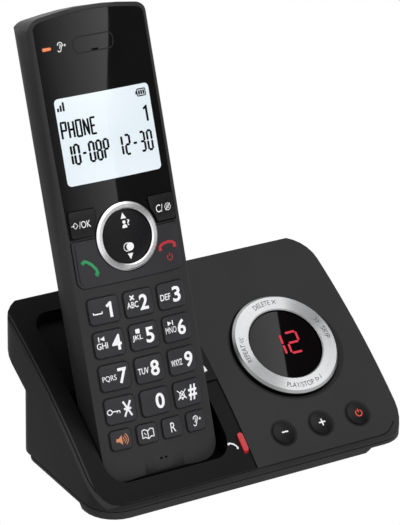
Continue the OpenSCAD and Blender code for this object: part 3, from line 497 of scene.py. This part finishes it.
def soften(name, width, segments=2):
    """Shades a piece smooth and rounds its edges by this many millimetres. Modifiers leave its mesh as it is."""
    node = bpy.data.objects[name]
    weld = node.modifiers.new("weld", "WELD")
    weld.merge_threshold = WELD
    if width:
        merge = node.modifiers.new("flat_faces", "DECIMATE")
        merge.decimate_type = "DISSOLVE"
        merge.angle_limit = math.radians(0.6)
        bevel = node.modifiers.new("edges", "BEVEL")
        bevel.width = width * MM
        bevel.segments = segments
        bevel.limit_method = "ANGLE"
        bevel.angle_limit = math.radians(32)
        bevel.use_clamp_overlap = True
    shading = node.modifiers.new("shading", "NODES")
    shading.node_group = SMOOTH


for name in KEYS + SMALL_KEYS:
    soften(name, 0.35, 3)
for name in ["soft_key_left", "soft_key_right"]:
    soften(name, 0.2)
soften("call_key", 0)
for name in ROUND_BUTTONS:
    soften(name, 0.4, 3)
soften("indicator_light", 0.5, 4)
for name in ["find_handset_button", "nav_rocker"]:
    soften(name, 0.2)
for name in ["base_top_shell", "base_bottom_shell", "cradle_insert", "handset_front_shell", "handset_back_cover",
             "battery_door", "display_lens", "message_ring", "nav_ring", "display_window"]:
    soften(name, 0)


# ---- Printed marks and painted shade, drawn flat in millimetres ----
THIN = 0.05  # half a mark's thickness
STEP = 0.7  # the longest straight part of a line, so that it can follow a curved surface
SAME_POINT = 0.00005  # points closer than this are joined
# The width of the painted shade lines in the gaps between parts
PAINTED_SHADE_WIDTH = 0.5


def add_words(sheet, words, x, y, width, height, weight=0.0):
    """Adds letters or digits that fill a box of this width and height round x, y."""
    curve = bpy.data.curves.new("lettering", "FONT")
    curve.body = words
    curve.offset = weight
    curve.extrude = THIN
    curve.resolution_u = 4
    letters = bpy.data.objects.new("lettering", curve)
    mesh = bpy.data.meshes.new_from_object(letters)
    xs = [v.co.x for v in mesh.vertices]
    ys = [v.co.y for v in mesh.vertices]
    sx, sy = width / (max(xs) - min(xs)), height / (max(ys) - min(ys))
    mx, my = (max(xs) + min(xs)) / 2, (max(ys) + min(ys)) / 2
    for vertex in mesh.vertices:
        c = vertex.co
        vertex.co = (x + (c.x - mx) * sx, y + (c.y - my) * sy, c.z)
    sheet.from_mesh(mesh)
    bpy.data.objects.remove(letters)
    bpy.data.curves.remove(curve)
    bpy.data.meshes.remove(mesh)


def add_plate(sheet, points):
    """Adds a thin plate with this outline."""
    corners = [sheet.verts.new((p[0], p[1], -THIN)) for p in points]
    face = sheet.faces.new(corners)
    risen = bmesh.ops.extrude_face_region(sheet, geom=[face])
    moved = [g for g in risen["geom"] if isinstance(g, bmesh.types.BMVert)]
    bmesh.ops.translate(sheet, vec=(0, 0, 2 * THIN), verts=moved)


def add_box(sheet, x0, y0, x1, y1):
    """Adds a thin rectangular plate."""
    add_plate(sheet, [(x0, y0), (x1, y0), (x1, y1), (x0, y1)])


def arc(x, y, radius, start, end, count):
    """Points along part of a circle; angles are in degrees from the right, counter-clockwise."""
    turns = [math.radians(start + (end - start) * i / count) for i in range(count + 1)]
    return [(x + radius * math.cos(t), y + radius * math.sin(t)) for t in turns]


def add_disc(sheet, x, y, radius, count):
    """Adds a thin round plate."""
    add_plate(sheet, arc(x, y, radius, 0, 360, count)[:-1])


def rounded_box(x0, y0, x1, y1, radius, count=5):
    """The outline of a box with round corners."""
    left, right, low, high = x0 + radius, x1 - radius, y0 + radius, y1 - radius
    corners = ((right, high, 0), (left, high, 90), (left, low, 180), (right, low, 270))
    return [point for x, y, start in corners for point in arc(x, y, radius, start, start + 90, count)]


def finer(points, closed):
    """The same line with more points."""
    ends = points[1:] + points[:1] if closed else points[1:]
    dense = []
    for a, b in zip(points, ends):
        count = max(1, math.ceil(math.dist(a, b) / STEP))
        dense += [(a[0] + (b[0] - a[0]) * i / count, a[1] + (b[1] - a[1]) * i / count) for i in range(count)]
    return dense if closed else dense + [points[-1]]


def add_stroke(sheet, points, width, closed=False):
    """Adds a drawn line as a flattened round bar."""
    points = finer(list(points), closed)
    curve = bpy.data.curves.new("stroke", "CURVE")
    curve.dimensions = "3D"
    curve.bevel_depth = width / 2
    curve.bevel_resolution = 2
    curve.use_fill_caps = True
    line = curve.splines.new("POLY")
    line.points.add(len(points) - 1)
    for knot, point in zip(line.points, points):
        knot.co = (point[0], point[1], 0, 1)
    line.use_cyclic_u = closed
    drawn = bpy.data.objects.new("stroke", curve)
    mesh = bpy.data.meshes.new_from_object(drawn)
    for vertex in mesh.vertices:
        vertex.co.z *= 2 * THIN / width
    sheet.from_mesh(mesh)
    bpy.data.objects.remove(drawn)
    bpy.data.curves.remove(curve)
    bpy.data.meshes.remove(mesh)


def add_cross(sheet, x0, y0, x1, y1, width):
    """Adds two lines between the opposite corners of a box."""
    add_stroke(sheet, [(x0, y0), (x1, y1)], width)
    add_stroke(sheet, [(x0, y1), (x1, y0)], width)


def add_segment(sheet, x0, y0, x1, y1, width):
    """Adds one pointed bar of a digit display."""
    along = Vector((x1 - x0, y1 - y0)).normalized()
    side = Vector((-along.y, along.x)) * width / 2
    tip = along * width * 0.3
    a, b = Vector((x0, y0)), Vector((x1, y1))
    add_plate(sheet, [a, a + tip - side, b - tip - side, b, b - tip + side, a + tip + side])


# The bars of each digit that a display here shows, lettered from the top bar clockwise, with g across the middle
SEGMENTS = {"0": "abcdef", "1": "bc", "2": "abged", "3": "abgcd", "8": "abcdefg", "-": "g", "P": "abefg"}


def add_digit(sheet, sign, x, y, width, height, bar, gap, slant=0.0):
    """Adds one seven-bar digit with its middle at x, y."""
    l, r, t, b, m = -width / 2, width / 2, height / 2, -height / 2, 0
    bars = {"a": (l, t, r, t), "b": (r, t, r, m), "c": (r, m, r, b), "d": (l, b, r, b), "e": (l, m, l, b),
            "f": (l, t, l, m), "g": (l, m, r, m)}
    for letter in SEGMENTS[sign]:
        x0, y0, x1, y1 = bars[letter]
        along = Vector((x1 - x0, y1 - y0)).normalized() * gap
        x0, y0, x1, y1 = x0 + along.x, y0 + along.y, x1 - along.x, y1 - along.y
        add_segment(sheet, x + x0 + y0 * slant, y + y0, x + x1 + y1 * slant, y + y1, bar)


def finish_marks(sheet, name, place, body, material):
    """Lays the marks on their surface and makes them one piece."""
    bmesh.ops.remove_doubles(sheet, verts=sheet.verts, dist=SAME_POINT)
    bmesh.ops.recalc_face_normals(sheet, faces=sheet.faces)
    for vertex in sheet.verts:
        vertex.co = place(vertex.co.copy())
    piece = add_object(name, sheet, material)
    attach(piece, body)


def finish_key(sheet, name, key, ink, place=on_face(KEY_TOP)):
    """Lays the marks on a key or a button."""
    finish_marks(sheet, name, place, key, ink)


def painted_shade_line(name, outlines, body, place, closed=True):
    """Makes one piece of painted shade: dark lines along these outlines, where the gaps between parts fall into shade.
    """
    sheet = bmesh.new()
    for outline in outlines:
        add_stroke(sheet, outline, PAINTED_SHADE_WIDTH, closed=closed)
    finish_marks(sheet, name, place, body, painted_gap_shade)


# ---- Number keys: a large digit, with letters or a sign beside it ----
DIGITS = {"2": (1.9, 3.5), "3": (2.1, 3.5), "4": (2.7, 3.7), "5": (2.2, 3.4), "6": (2.0, 3.5), "7": (2.9, 3.5),
          "8": (2.0, 3.6), "9": (2.8, 3.6), "0": (1.9, 3.7), "hash": (2.1, 3.7)}  # place to the right, and width
LETTERS = {"2": ("ABC", 4.6), "3": ("DEF", 4.4), "4": ("GHI", 4.2), "5": ("JKL", 4.2), "6": ("MNO", 4.6),
           "7": ("PQRS", 5.4), "8": ("TUV", 4.4), "9": ("WXYZ", 4.8)}  # letters, and their width
DIGIT_HEIGHT, LETTER_HEIGHT, LETTERS_LEFT = 5.7, 2.3, -5.0
PITCH_X, PITCH_Y, ROWS_MIDDLE = 14.0, 12.2, -42.8


def key_middle(order):
    """The middle of a number key on the handset's face."""
    return (order % 3 - 1) * PITCH_X, ROWS_MIDDLE + (1.5 - order // 3) * PITCH_Y


def add_star(sheet, x, y, width, height):
    """A star of three crossed lines."""
    for dx, dy in ((width / 2, height / 2), (width / 2, -height / 2), (width / 2, 0)):
        add_stroke(sheet, [(x - dx, y - dy), (x + dx, y + dy)], 0.8)


def add_key_sign(sheet, x, y):
    """The outline of a door key."""
    add_stroke(sheet, arc(x - 1.5, y, 0.9, 0, 342, 18), 0.42, closed=True)
    add_stroke(sheet, [(x - 0.6, y), (x + 2.3, y), (x + 2.3, y - 0.9)], 0.42)
    add_stroke(sheet, [(x + 1.3, y), (x + 1.3, y - 0.7)], 0.42)


def add_crossed_bell(sheet, x, y):
    """A bell with a cross through it."""
    add_stroke(sheet, [(x - 1.5, y - 1.1), (x - 1.0, y - 0.6), (x - 0.9, y + 0.5), (x, y + 1.4), (x + 0.9, y + 0.5),
                       (x + 1.0, y - 0.6), (x + 1.5, y - 1.1)], 0.38, closed=True)
    add_disc(sheet, x, y - 1.5, 0.4, 10)
    add_cross(sheet, x - 1.9, y - 1.7, x + 1.9, y + 1.8, 0.4)


def add_triangle(sheet, x, y, dx, dy):
    """A filled arrowhead that points along dx, dy."""
    side = (-dy, dx)
    add_plate(sheet, [(x + dx, y + dy), (x - dx + side[0], y - dy + side[1]), (x - dx - side[0], y - dy - side[1])])


for order, label in enumerate(NUMBER_KEYS):
    x, y = key_middle(order)
    sheet = bmesh.new()
    if label in DIGITS:
        to_right, width = DIGITS[label]
        add_words(sheet, "#" if label == "hash" else label, x + to_right, y, width, DIGIT_HEIGHT, 0.024)
    if label in LETTERS:
        letters, width = LETTERS[label]
        weight = 0.0 if "M" in letters or "Q" in letters else 0.01  # a heavier M or Q would cross itself
        add_words(sheet, letters, x + LETTERS_LEFT + width / 2, y - 0.3, width, LETTER_HEIGHT, weight)
    if label == "1":
        add_plate(sheet, [(x + 2.0, y - 2.85), (x + 3.1, y - 2.85), (x + 3.1, y + 2.85), (x + 2.4, y + 2.85),
                          (x + 0.8, y + 1.6), (x + 1.3, y + 0.8), (x + 2.0, y + 1.3)])
        add_stroke(sheet, [(x - 4.2, y - 0.2), (x - 4.2, y - 0.9), (x - 0.9, y - 0.9), (x - 0.9, y - 0.2)], 0.5)
    elif label == "2":
        add_cross(sheet, x - 3.4, y + 1.5, x - 1.8, y + 3.1, 0.6)
    elif label == "4":
        add_triangle(sheet, x - 2.6, y + 2.2, -0.85, 0)
        add_stroke(sheet, [(x - 3.9, y + 1.3), (x - 3.9, y + 3.1)], 0.45)
    elif label == "5":
        add_box(sheet, x - 3.4, y + 1.4, x - 1.7, y + 3.0)
    elif label == "6":
        add_triangle(sheet, x - 2.9, y + 2.2, 0.85, 0)
        add_stroke(sheet, [(x - 1.6, y + 1.3), (x - 1.6, y + 3.1)], 0.45)
    elif label == "star":
        add_star(sheet, x + 2.6, y, 2.9, 5.6)
        add_key_sign(sheet, x - 2.8, y - 0.1)
    elif label == "hash":
        add_crossed_bell(sheet, x - 2.6, y)
    finish_key(sheet, "print_key_" + label, "key_" + label, white_ink)

# ---- Painted shade in the gaps round the keys ----
GAP = 0.3  # from a key's edge to the middle of its gap
NUMBER_KEY_SIZE, SMALL_KEY_SIZE = (5.8, 4.65, 1.5), (4.05, 3.5, 1.3)  # half width, half height, corner radius
SMALL_X, SMALL_Y = [(i - 1.5) * 10.45 for i in range(4)], -71.8
edges = [(*key_middle(order), *NUMBER_KEY_SIZE) for order in range(len(NUMBER_KEYS))]
edges += [(x, SMALL_Y, *SMALL_KEY_SIZE) for x in SMALL_X]
painted_shade_line("key_gaps_painted_shade", [rounded_box(x - w - GAP, y - h - GAP, x + w + GAP, y + h + GAP, r + GAP)
                      for x, y, w, h, r in edges], "handset", on_face(0.0))

# ---- Small keys ----
sheet = bmesh.new()
x, y = SMALL_X[0] + 0.2, SMALL_Y
add_plate(sheet, [(x - 2.2, y - 0.6), (x - 1.2, y - 0.6), (x + 0.1, y - 1.8), (x + 0.1, y + 1.8), (x - 1.2, y + 0.6),
                  (x - 2.2, y + 0.6)])
for radius in (1.0, 1.8, 2.6):
    add_stroke(sheet, arc(x - 0.2, y, radius, -50, 50, 8), 0.36)
finish_key(sheet, "print_speaker_key", "speaker_key", orange_ink)

sheet = bmesh.new()
x = SMALL_X[1] + 0.1
add_stroke(sheet, [(x - 2.3, y + 1.4), (x - 1.2, y + 1.7), (x, y + 1.0), (x + 1.2, y + 1.7), (x + 2.3, y + 1.4),
                   (x + 2.3, y - 1.4), (x + 1.2, y - 1.1), (x, y - 1.9), (x - 1.2, y - 1.1), (x - 2.3, y - 1.4)],
           0.4, closed=True)
add_stroke(sheet, [(x, y + 1.0), (x, y - 1.9)], 0.4)
add_stroke(sheet, [(x - 1.5, y + 0.5), (x - 0.7, y - 0.4)], 0.35)
finish_key(sheet, "print_phonebook_key", "phonebook_key", white_ink)

sheet = bmesh.new()
add_words(sheet, "R", SMALL_X[2] + 0.2, SMALL_Y, 2.1, 3.5, -0.004)
finish_key(sheet, "print_recall_key", "recall_key", white_ink)

EAR = [(0.2, [(-0.62, 0.35), (-0.5, 0.8), (-0.05, 0.98), (0.38, 0.78), (0.45, 0.35), (0.2, 0.0), (0.08, -0.35),
              (-0.1, -0.85), (-0.5, -0.95), (-0.68, -0.6)]),
       (0.17, [(-0.25, 0.35), (-0.1, 0.6), (0.12, 0.4), (-0.15, 0.05), (-0.3, -0.3)]),
       (0.17, [(0.67, 0.25), (1.23, 0.25)]), (0.17, [(0.95, -0.03), (0.95, 0.53)])]  # widths and points


def add_ear(sheet, x, y, size):
    """An ear with a plus sign: the hearing boost."""
    for width, points in EAR:
        add_stroke(sheet, [(x + size * a, y + size * b) for a, b in points], width * size)


sheet = bmesh.new()
add_ear(sheet, SMALL_X[3] - 0.1, SMALL_Y, 1.9)
finish_key(sheet, "print_boost_key", "boost_key", white_ink)

sheet = bmesh.new()
add_ear(sheet, -13.4, 70.9, 1.75)
finish_marks(sheet, "print_boost_sign", on_face(LENS_TOP), "handset", white_ink)

# ---- Keys round the navigation pad ----
sheet = bmesh.new()
x, y = -19.4, 7.3
add_stroke(sheet, [(x - 1.0, y), (x, y + 1.1), (x + 1.0, y), (x, y - 1.1)], 0.24, closed=True)
add_stroke(sheet, [(x - 1.6, y), (x - 0.3, y)], 0.24)
add_words(sheet, "/OK", x + 3.6, y, 4.4, 2.5)
finish_key(sheet, "print_menu_key", "soft_key_left", white_ink)

sheet = bmesh.new()
x, y = 14.7, 7.3
add_words(sheet, "C/", x + 0.2, y, 3.0, 2.8)
add_stroke(sheet, arc(x + 3.9, y, 1.25, 0, 345, 16), 0.24, closed=True)
add_stroke(sheet, arc(x + 3.9, y, 0.55, 0, 340, 10), 0.2, closed=True)
add_stroke(sheet, [(x + 2.7, y - 1.2), (x + 5.1, y + 1.2)], 0.24)
finish_key(sheet, "print_clear_key", "soft_key_right", white_ink)


def add_receiver(sheet, points, width, ends):
    """A telephone receiver: a curved grip with a thick earpiece and mouthpiece across its ends."""
    add_stroke(sheet, points, width)
    middle = Vector(points[len(points) // 2])
    chord = (Vector(points[-1]) - Vector(points[0])).normalized()
    inward = Vector((-chord.y, chord.x))
    if (middle - Vector(points[0])).dot(inward) > 0:
        inward = -inward
    for end, sign in ((points[0], 1), (points[-1], -1)):
        start = Vector(end) + chord * sign * width * 0.35
        add_stroke(sheet, [tuple(start), tuple(start + inward * ends)], width * 1.35)


sheet = bmesh.new()
add_receiver(sheet, [(-18.9, -5.8), (-17.4, -6.2), (-15.6, -7.6), (-14.3, -9.4), (-13.7, -11.3)], 1.2, 1.0)
finish_key(sheet, "print_talk_sign", "call_key", green_ink, on_call_key)

sheet = bmesh.new()
add_receiver(sheet, [(12.1, -7.2), (13.0, -6.1), (14.6, -5.5), (16.6, -5.3), (18.3, -5.7), (19.3, -6.8)], 1.15, 0.9)
add_stroke(sheet, arc(16.2, -10.9, 1.1, 125, 415, 16), 0.32)
add_stroke(sheet, [(16.2, -10.7), (16.2, -9.4)], 0.32)
finish_key(sheet, "print_end_sign", "call_key", red_ink, on_call_key)

sheet = bmesh.new()
add_triangle(sheet, -0.5, 7.6, 0, 1.1)
add_disc(sheet, -0.6, 5.2, 0.65, 14)
add_plate(sheet, [(-1.5, 3.1), (0.4, 3.1), (0.4, 3.8), (-0.1, 4.35), (-1.0, 4.35), (-1.5, 3.8)])
add_words(sheet, "?", 1.15, 4.9, 1.05, 2.1, 0.01)
add_stroke(sheet, arc(-0.8, -3.9, 1.5, 0, 345, 20), 0.32, closed=True)
add_disc(sheet, 0.25, -3.9, 1.5, 24)
add_triangle(sheet, 0.0, -7.4, 0, -1.1)
finish_key(sheet, "print_nav_signs", "nav_rocker", white_ink, on_rocker)


# ---- Display: a pale lit picture with black signs, under the lens's gloss ----
def lit_display(name):
    """Back-lit display: light that varies faintly in broad patches, and the lens's gloss over it."""
    material, tree, shader = new_material(name)
    glow = object_noise(tree, 22, 1)
    tinted(tree, glow, (0.60, 0.67, 0.72), (0.68, 0.74, 0.78), shader.inputs["Base Color"])
    tinted(tree, glow, (0.68, 0.76, 0.82), (0.80, 0.85, 0.89), shader.inputs["Emission Color"])
    shader.inputs["Emission Strength"].default_value = 0.14
    spread(tree, object_noise(tree, 2500), 0.35, 0.45, shader.inputs["Roughness"])
    shader.inputs["Coat Weight"].default_value = 1.0
    shader.inputs["Coat Roughness"].default_value = 0.04
    return material


display_light = lit_display("display_light")
sheet = bmesh.new()
left, right, strips = -19.3, 19.2, 12
add_plate(sheet, rounded_box(left, 21.3, right, 52.9, 1.6))
for i in range(1, strips):  # in strips, so that it follows the crowned face
    middle = (left + (right - left) * i / strips, 0, 0)
    everything = sheet.verts[:] + sheet.edges[:] + sheet.faces[:]
    bmesh.ops.bisect_plane(sheet, geom=everything, plane_co=middle, plane_no=(1, 0, 0))
finish_marks(sheet, "display_picture", on_face(PICTURE_TOP), "handset", display_light)

sheet = bmesh.new()
for i, tall in enumerate((1.3, 2.2, 3.2)):  # reception
    x = -18.6 + i * 1.05
    add_box(sheet, x, 48.3, x + 0.7, 48.3 + tall)
add_stroke(sheet, rounded_box(13.9, 48.6, 17.5, 51.1, 0.3, 2), 0.42, closed=True)  # battery
for i in range(3):
    add_box(sheet, 14.4 + i * 0.98, 49.1, 15.1 + i * 0.98, 50.6)
add_box(sheet, 13.2, 49.3, 13.8, 50.4)
WORD = {"P": [[(0, 0), (0, 1), (1, 1), (1, 0.5), (0, 0.5)]],
        "H": [[(0, 0), (0, 1)], [(1, 0), (1, 1)], [(0, 0.5), (1, 0.5)]],
        "O": [[(0, 0), (0, 1), (1, 1), (1, 0), (0, 0)]],
        "N": [[(0, 0), (0, 1), (1, 0), (1, 1)]],
        "E": [[(1, 0), (0, 0), (0, 1), (1, 1)], [(0, 0.5), (0.8, 0.5)]]}
for i, sign in enumerate("PHONE"):
    for line in WORD[sign]:
        add_stroke(sheet, [(-18.2 + i * 2.85 + 1.75 * a, 38.5 + 5.8 * b) for a, b in line], 0.78)
add_plate(sheet, [(16.2, 39.2), (17.1, 39.2), (17.1, 45.0), (16.5, 45.0), (15.2, 44.0), (15.6, 43.4), (16.2, 43.8)])
for i, sign in enumerate("10-08P"):  # date
    add_digit(sheet, sign, -16.8 + i * 2.9, 32.3, 1.75, 6.9, 0.82, gap=0.1)
for i, sign in enumerate("12-30"):  # time
    add_digit(sheet, sign, 3.3 + i * 3.2, 32.3, 1.8, 6.9, 0.82, gap=0.1)
finish_marks(sheet, "display_signs", on_face(SIGNS_TOP), "handset", display_ink)

# ---- Head of the handset: painted shade of the slit round the earpiece ----
sheet = bmesh.new()
add_stroke(sheet, rounded_box(-8.5, 67.6, 7.5, 73.4, 2.2, 6), 0.45, closed=True)
finish_marks(sheet, "earpiece_slit_painted_shade", on_face(LENS_TOP), "handset", painted_slit_shade)

# ---- Message ring, its window and the round buttons ----
sheet = bmesh.new()
add_digit(sheet, "1", -3.1, 0.1, 4.3, 8.7, 0.88, gap=0.25, slant=0.08)
add_digit(sheet, "2", 3.7, 0.1, 4.8, 8.7, 0.88, gap=0.25, slant=0.08)
finish_marks(sheet, "message_digits", on_ring(WINDOW_TOP), "base", digit_glow)


def ring_words(name, words, x, width, place, signs):
    """Words with their middle at x on the ring, and a sign of thin lines beside them."""
    sheet = bmesh.new()
    add_words(sheet, words, x, 0, width, 2.0, -0.005)
    for points in signs:
        add_stroke(sheet, points, 0.26)
    finish_marks(sheet, name, place, "message_ring", ring_ink)


def chevron(x, reach):
    """An angle whose tip lies this far to the right of its ends."""
    return [(x, 0.8), (x + reach, 0), (x, -0.8)]


CROSS = [[(3.6, -0.8), (5.2, 0.9)], [(3.6, 0.9), (5.2, -0.8)]]
TRIANGLE_AND_SLASH = [[(5.2, 0.8), (6.6, 0), (5.2, -0.8), (5.2, 0.8)], [(7.4, -0.8), (8.0, 0.9)]]
ring_words("ring_print_delete", "DELETE", -1.2, 7.6, on_arc(-4), CROSS)
ring_words("ring_print_skip", "SKIP", 2.6, 5.2, on_arc(80), [chevron(-4.4, 1.0), chevron(-3.2, 1.0)])
ring_words("ring_print_repeat", "REPEAT", -1.2, 7.6, on_arc(273), [chevron(4.4, -1.0), chevron(5.6, -1.0)])
ring_words("ring_print_play", "PLAY/STOP", -1.8, 11.4, on_arc(181, inside=True), TRIANGLE_AND_SLASH)

# Painted shade in the gaps round the round buttons
for name, x in (("volume_down_gap_painted_shade", DOWN_X), ("volume_up_gap_painted_shade", UP_X), ("power_gap_painted_shade", POWER_X)):
    painted_shade_line(name, [arc(0, 0, BUTTON_GAP_R, 0, 350, 35)], "base", on_dome(x, BUTTON_Y))
BUTTON_SIGNS = [("volume_down", DOWN_X, white_ink, 0.62, [[(-1.35, 0), (1.35, 0)]]),
                ("volume_up", UP_X, white_ink, 0.62, [[(-1.4, 0), (1.4, 0)], [(0, -1.4), (0, 1.4)]]),
                ("power", POWER_X, power_ink, 0.45, [arc(0, -0.2, 1.3, 125, 415, 18), [(0, 0.0), (0, 1.5)]])]
for name, x, ink, width, lines in BUTTON_SIGNS:
    sheet = bmesh.new()
    for points in lines:
        add_stroke(sheet, points, width)
    finish_key(sheet, "print_" + name, name + "_button", ink, on_button(x))

# ---- Cradle side: receiver sign by the lamp, handset sign on the paging key ----
sheet = bmesh.new()
add_receiver(sheet, [(-1.7, 1.2), (-0.8, 1.1), (0.3, 0.5), (1.1, -0.4), (1.6, -1.4)], 0.62, 0.5)
finish_marks(sheet, "print_in_use_sign", on_dome(-5.7, 11.4, -0.6), "base", white_ink)
# Painted shade: a dark strip standing upright in the seam beside the cradle
painted_shade_line("cradle_seam_painted_shade", [[(0.0, 3.6 + i) for i in range(74)]], "base", on_cradle_side, closed=False)
sheet = bmesh.new()
add_plate(sheet, [(-1.8, -2.6), (1.7, -2.6), (1.2, 0.9), (0.6, 2.7), (-0.6, 2.7), (-1.3, 0.9)])
finish_key(sheet, "print_find_sign", "find_handset_button", white_ink, on_dome(-3.9, 36.8, 0.1))

# ---- Stage: floor, world, lamps, cards that shape the reflections ----
WHITE_RAYS = ("Is Camera Ray", "Is Glossy Ray", "Is Transmission Ray")


def seen_as_white(tree, plain, output):
    """The plain shader for lighting, and white for the rays that look straight at it."""
    path = tree.nodes.new("ShaderNodeLightPath")
    total = path.outputs[WHITE_RAYS[0]]
    for name in WHITE_RAYS[1:]:
        join = tree.nodes.new("ShaderNodeMath")
        join.operation = "MAXIMUM"
        tree.links.new(total, join.inputs[0])
        tree.links.new(path.outputs[name], join.inputs[1])
        total = join.outputs[0]
    glow = tree.nodes.new("ShaderNodeBackground" if output.type == "OUTPUT_WORLD" else "ShaderNodeEmission")
    glow.inputs["Color"].default_value = (1, 1, 1, 1)
    glow.inputs["Strength"].default_value = 1.0
    mix = tree.nodes.new("ShaderNodeMixShader")
    tree.links.new(total, mix.inputs["Fac"])
    tree.links.new(plain, mix.inputs[1])
    tree.links.new(glow.outputs[0], mix.inputs[2])
    tree.links.new(mix.outputs[0], output.inputs["Surface"])


world = bpy.data.worlds.new("studio")
scene.world = world
world.use_nodes = True
tree = world.node_tree
sky = tree.nodes["Background"]
sky.inputs["Color"].default_value = (1, 1, 1, 1)
sky.inputs["Strength"].default_value = 0.35
seen_as_white(tree, sky.outputs[0], tree.nodes["World Output"])

floor_sheet = bmesh.new()
bmesh.ops.create_grid(floor_sheet, x_segments=8, y_segments=8, size=3.0)
paper, tree, shader = new_material("floor_paper")
tinted(tree, object_noise(tree, 3, 2), (0.80, 0.80, 0.80), (0.84, 0.84, 0.84), shader.inputs["Base Color"])
shader.inputs["Roughness"].default_value = 0.9
shader.inputs["Specular IOR Level"].default_value = 0.0
seen_as_white(tree, shader.outputs[0], next(n for n in tree.nodes if n.type == "OUTPUT_MATERIAL"))
floor = add_object("floor", floor_sheet, paper)


def card(name, middle, across, up, outline, bright, dark, fade=None):
    """A card that only reflections see: bright at its first edge, and dark at its last or after the length of fade."""
    sheet = bmesh.new()
    across, up = Vector(across), Vector(up)
    sheet.faces.new([sheet.verts.new(Vector(middle) + across * a + up * b) for a, b in outline])
    material = bpy.data.materials.new(name)
    material.use_nodes = True
    tree = material.node_tree
    tree.nodes.clear()
    coords = tree.nodes.new("ShaderNodeTexCoord")
    span = tree.nodes.new("ShaderNodeMapRange")
    base = Vector(middle).dot(across)
    reach = [a for a, _ in outline]
    span.inputs["From Min"].default_value = base + min(reach)
    span.inputs["From Max"].default_value = base + (min(reach) + fade if fade else max(reach))
    span.inputs["To Min"].default_value = bright
    span.inputs["To Max"].default_value = dark
    place = vector_math(tree, "DOT_PRODUCT", coords.outputs["Object"], across)
    tree.links.new(place.outputs["Value"], span.inputs["Value"])
    glow = tree.nodes.new("ShaderNodeEmission")
    tree.links.new(span.outputs["Result"], glow.inputs["Strength"])
    end = tree.nodes.new("ShaderNodeOutputMaterial")
    tree.links.new(glow.outputs[0], end.inputs["Surface"])
    board = add_object(name, sheet, material)
    board.visible_camera = False
    board.visible_diffuse = False
    board.visible_shadow = False
    board.visible_transmission = False


# Two light cards with a dark card behind each: their middles, and the directions of their planes
FRONT = (0.28632, -0.58045, 0.31271)
FRONT_ACROSS, FRONT_UP = (-0.88154, -0.47211, 0.0), (-0.12189, 0.22760, 0.96610)
FRONT_OUT = Vector((0.45610, -0.85165, 0.25818))
EDGE = [(-0.20, 0.16), (-0.101, 0.045), (-0.026, 0.009), (0.019, -0.040), (0.08, -0.20)]
card("front_light_card", FRONT, FRONT_ACROSS, FRONT_UP, EDGE + [(0.40, -0.20), (0.40, 0.16)], 2.0, 0.02, 0.52)
card("front_dark_card", Vector(FRONT) + FRONT_OUT * 0.02, FRONT_ACROSS, FRONT_UP,
     [(-0.5, -0.24), (0.5, -0.24), (0.5, 0.22), (-0.5, 0.22)], 0.06, 0.06)
TOP = (0.33079, -0.11365, 0.54284)
TOP_ACROSS, TOP_UP = (-0.86404, 0.0, 0.50343), (0.09139, 0.98338, 0.15685)
TOP_OUT = Vector((0.49506, -0.18153, 0.84968))
card("top_light_card", TOP, TOP_ACROSS, TOP_UP,
     [(0.0005, -0.05), (0.04, -0.05), (0.04, 0.05), (0.0030, 0.05)], 1.35, 0.6)
card("top_dark_card", Vector(TOP) + TOP_OUT * 0.005, TOP_ACROSS, TOP_UP,
     [(-0.035, -0.05), (0.05, -0.05), (0.05, 0.05), (-0.035, 0.05)], 0.0, 0.0)
card("left_floor_card", (-0.368, 0.27, 0.001), (1, 0, 0), (0, 1, 0),
     [(-0.3, -0.32), (0.3, -0.32), (0.3, 0.32), (-0.3, 0.32)], 0.38, 0.38)


def softbox(name, at, target, size, power):
    """A rectangular lamp that faces the target."""
    lamp = bpy.data.lights.new(name, "AREA")
    lamp.shape = "RECTANGLE"
    lamp.size, lamp.size_y = size
    lamp.energy = power
    holder = bpy.data.objects.new(name, lamp)
    scene.collection.objects.link(holder)
    aim = (Vector(target) - Vector(at)).normalized()
    holder.matrix_world = Matrix.Translation(Vector(at)) @ aim.to_track_quat("-Z", "Y").to_matrix().to_4x4()


MIDDLE = (0.0, 0.0, 0.07)
softbox("overhead_lamp", (0.15, -0.3, 1.15), MIDDLE, (0.9, 0.9), 6.5)
softbox("left_lamp", (-1.0, -0.35, 0.65), MIDDLE, (0.7, 0.9), 1.0)
softbox("front_lamp", (0.25, -1.15, 0.55), MIDDLE, (0.8, 0.6), 6.6)

# ---- Camera ----
lens = bpy.data.cameras.new("photo_camera")
lens.sensor_fit = "VERTICAL"
lens.sensor_height = 36
lens.sensor_width = 36
lens.lens = 193.0
lens.clip_start, lens.clip_end = 0.05, 20
camera = bpy.data.objects.new("photo_camera", lens)
scene.collection.objects.link(camera)
right = Vector((0.857932, -0.513406, 0.019184))
upward = Vector((0.195404, 0.360610, 0.912019))
ahead = Vector((0.475153, 0.778701, -0.409700))
turn = Matrix((right, upward, -ahead)).transposed().to_4x4()
camera.matrix_world = Matrix.Translation((-0.49351, -0.80564, 0.49655)) @ turn
scene.camera = camera
scene.view_settings.view_transform = "Standard"
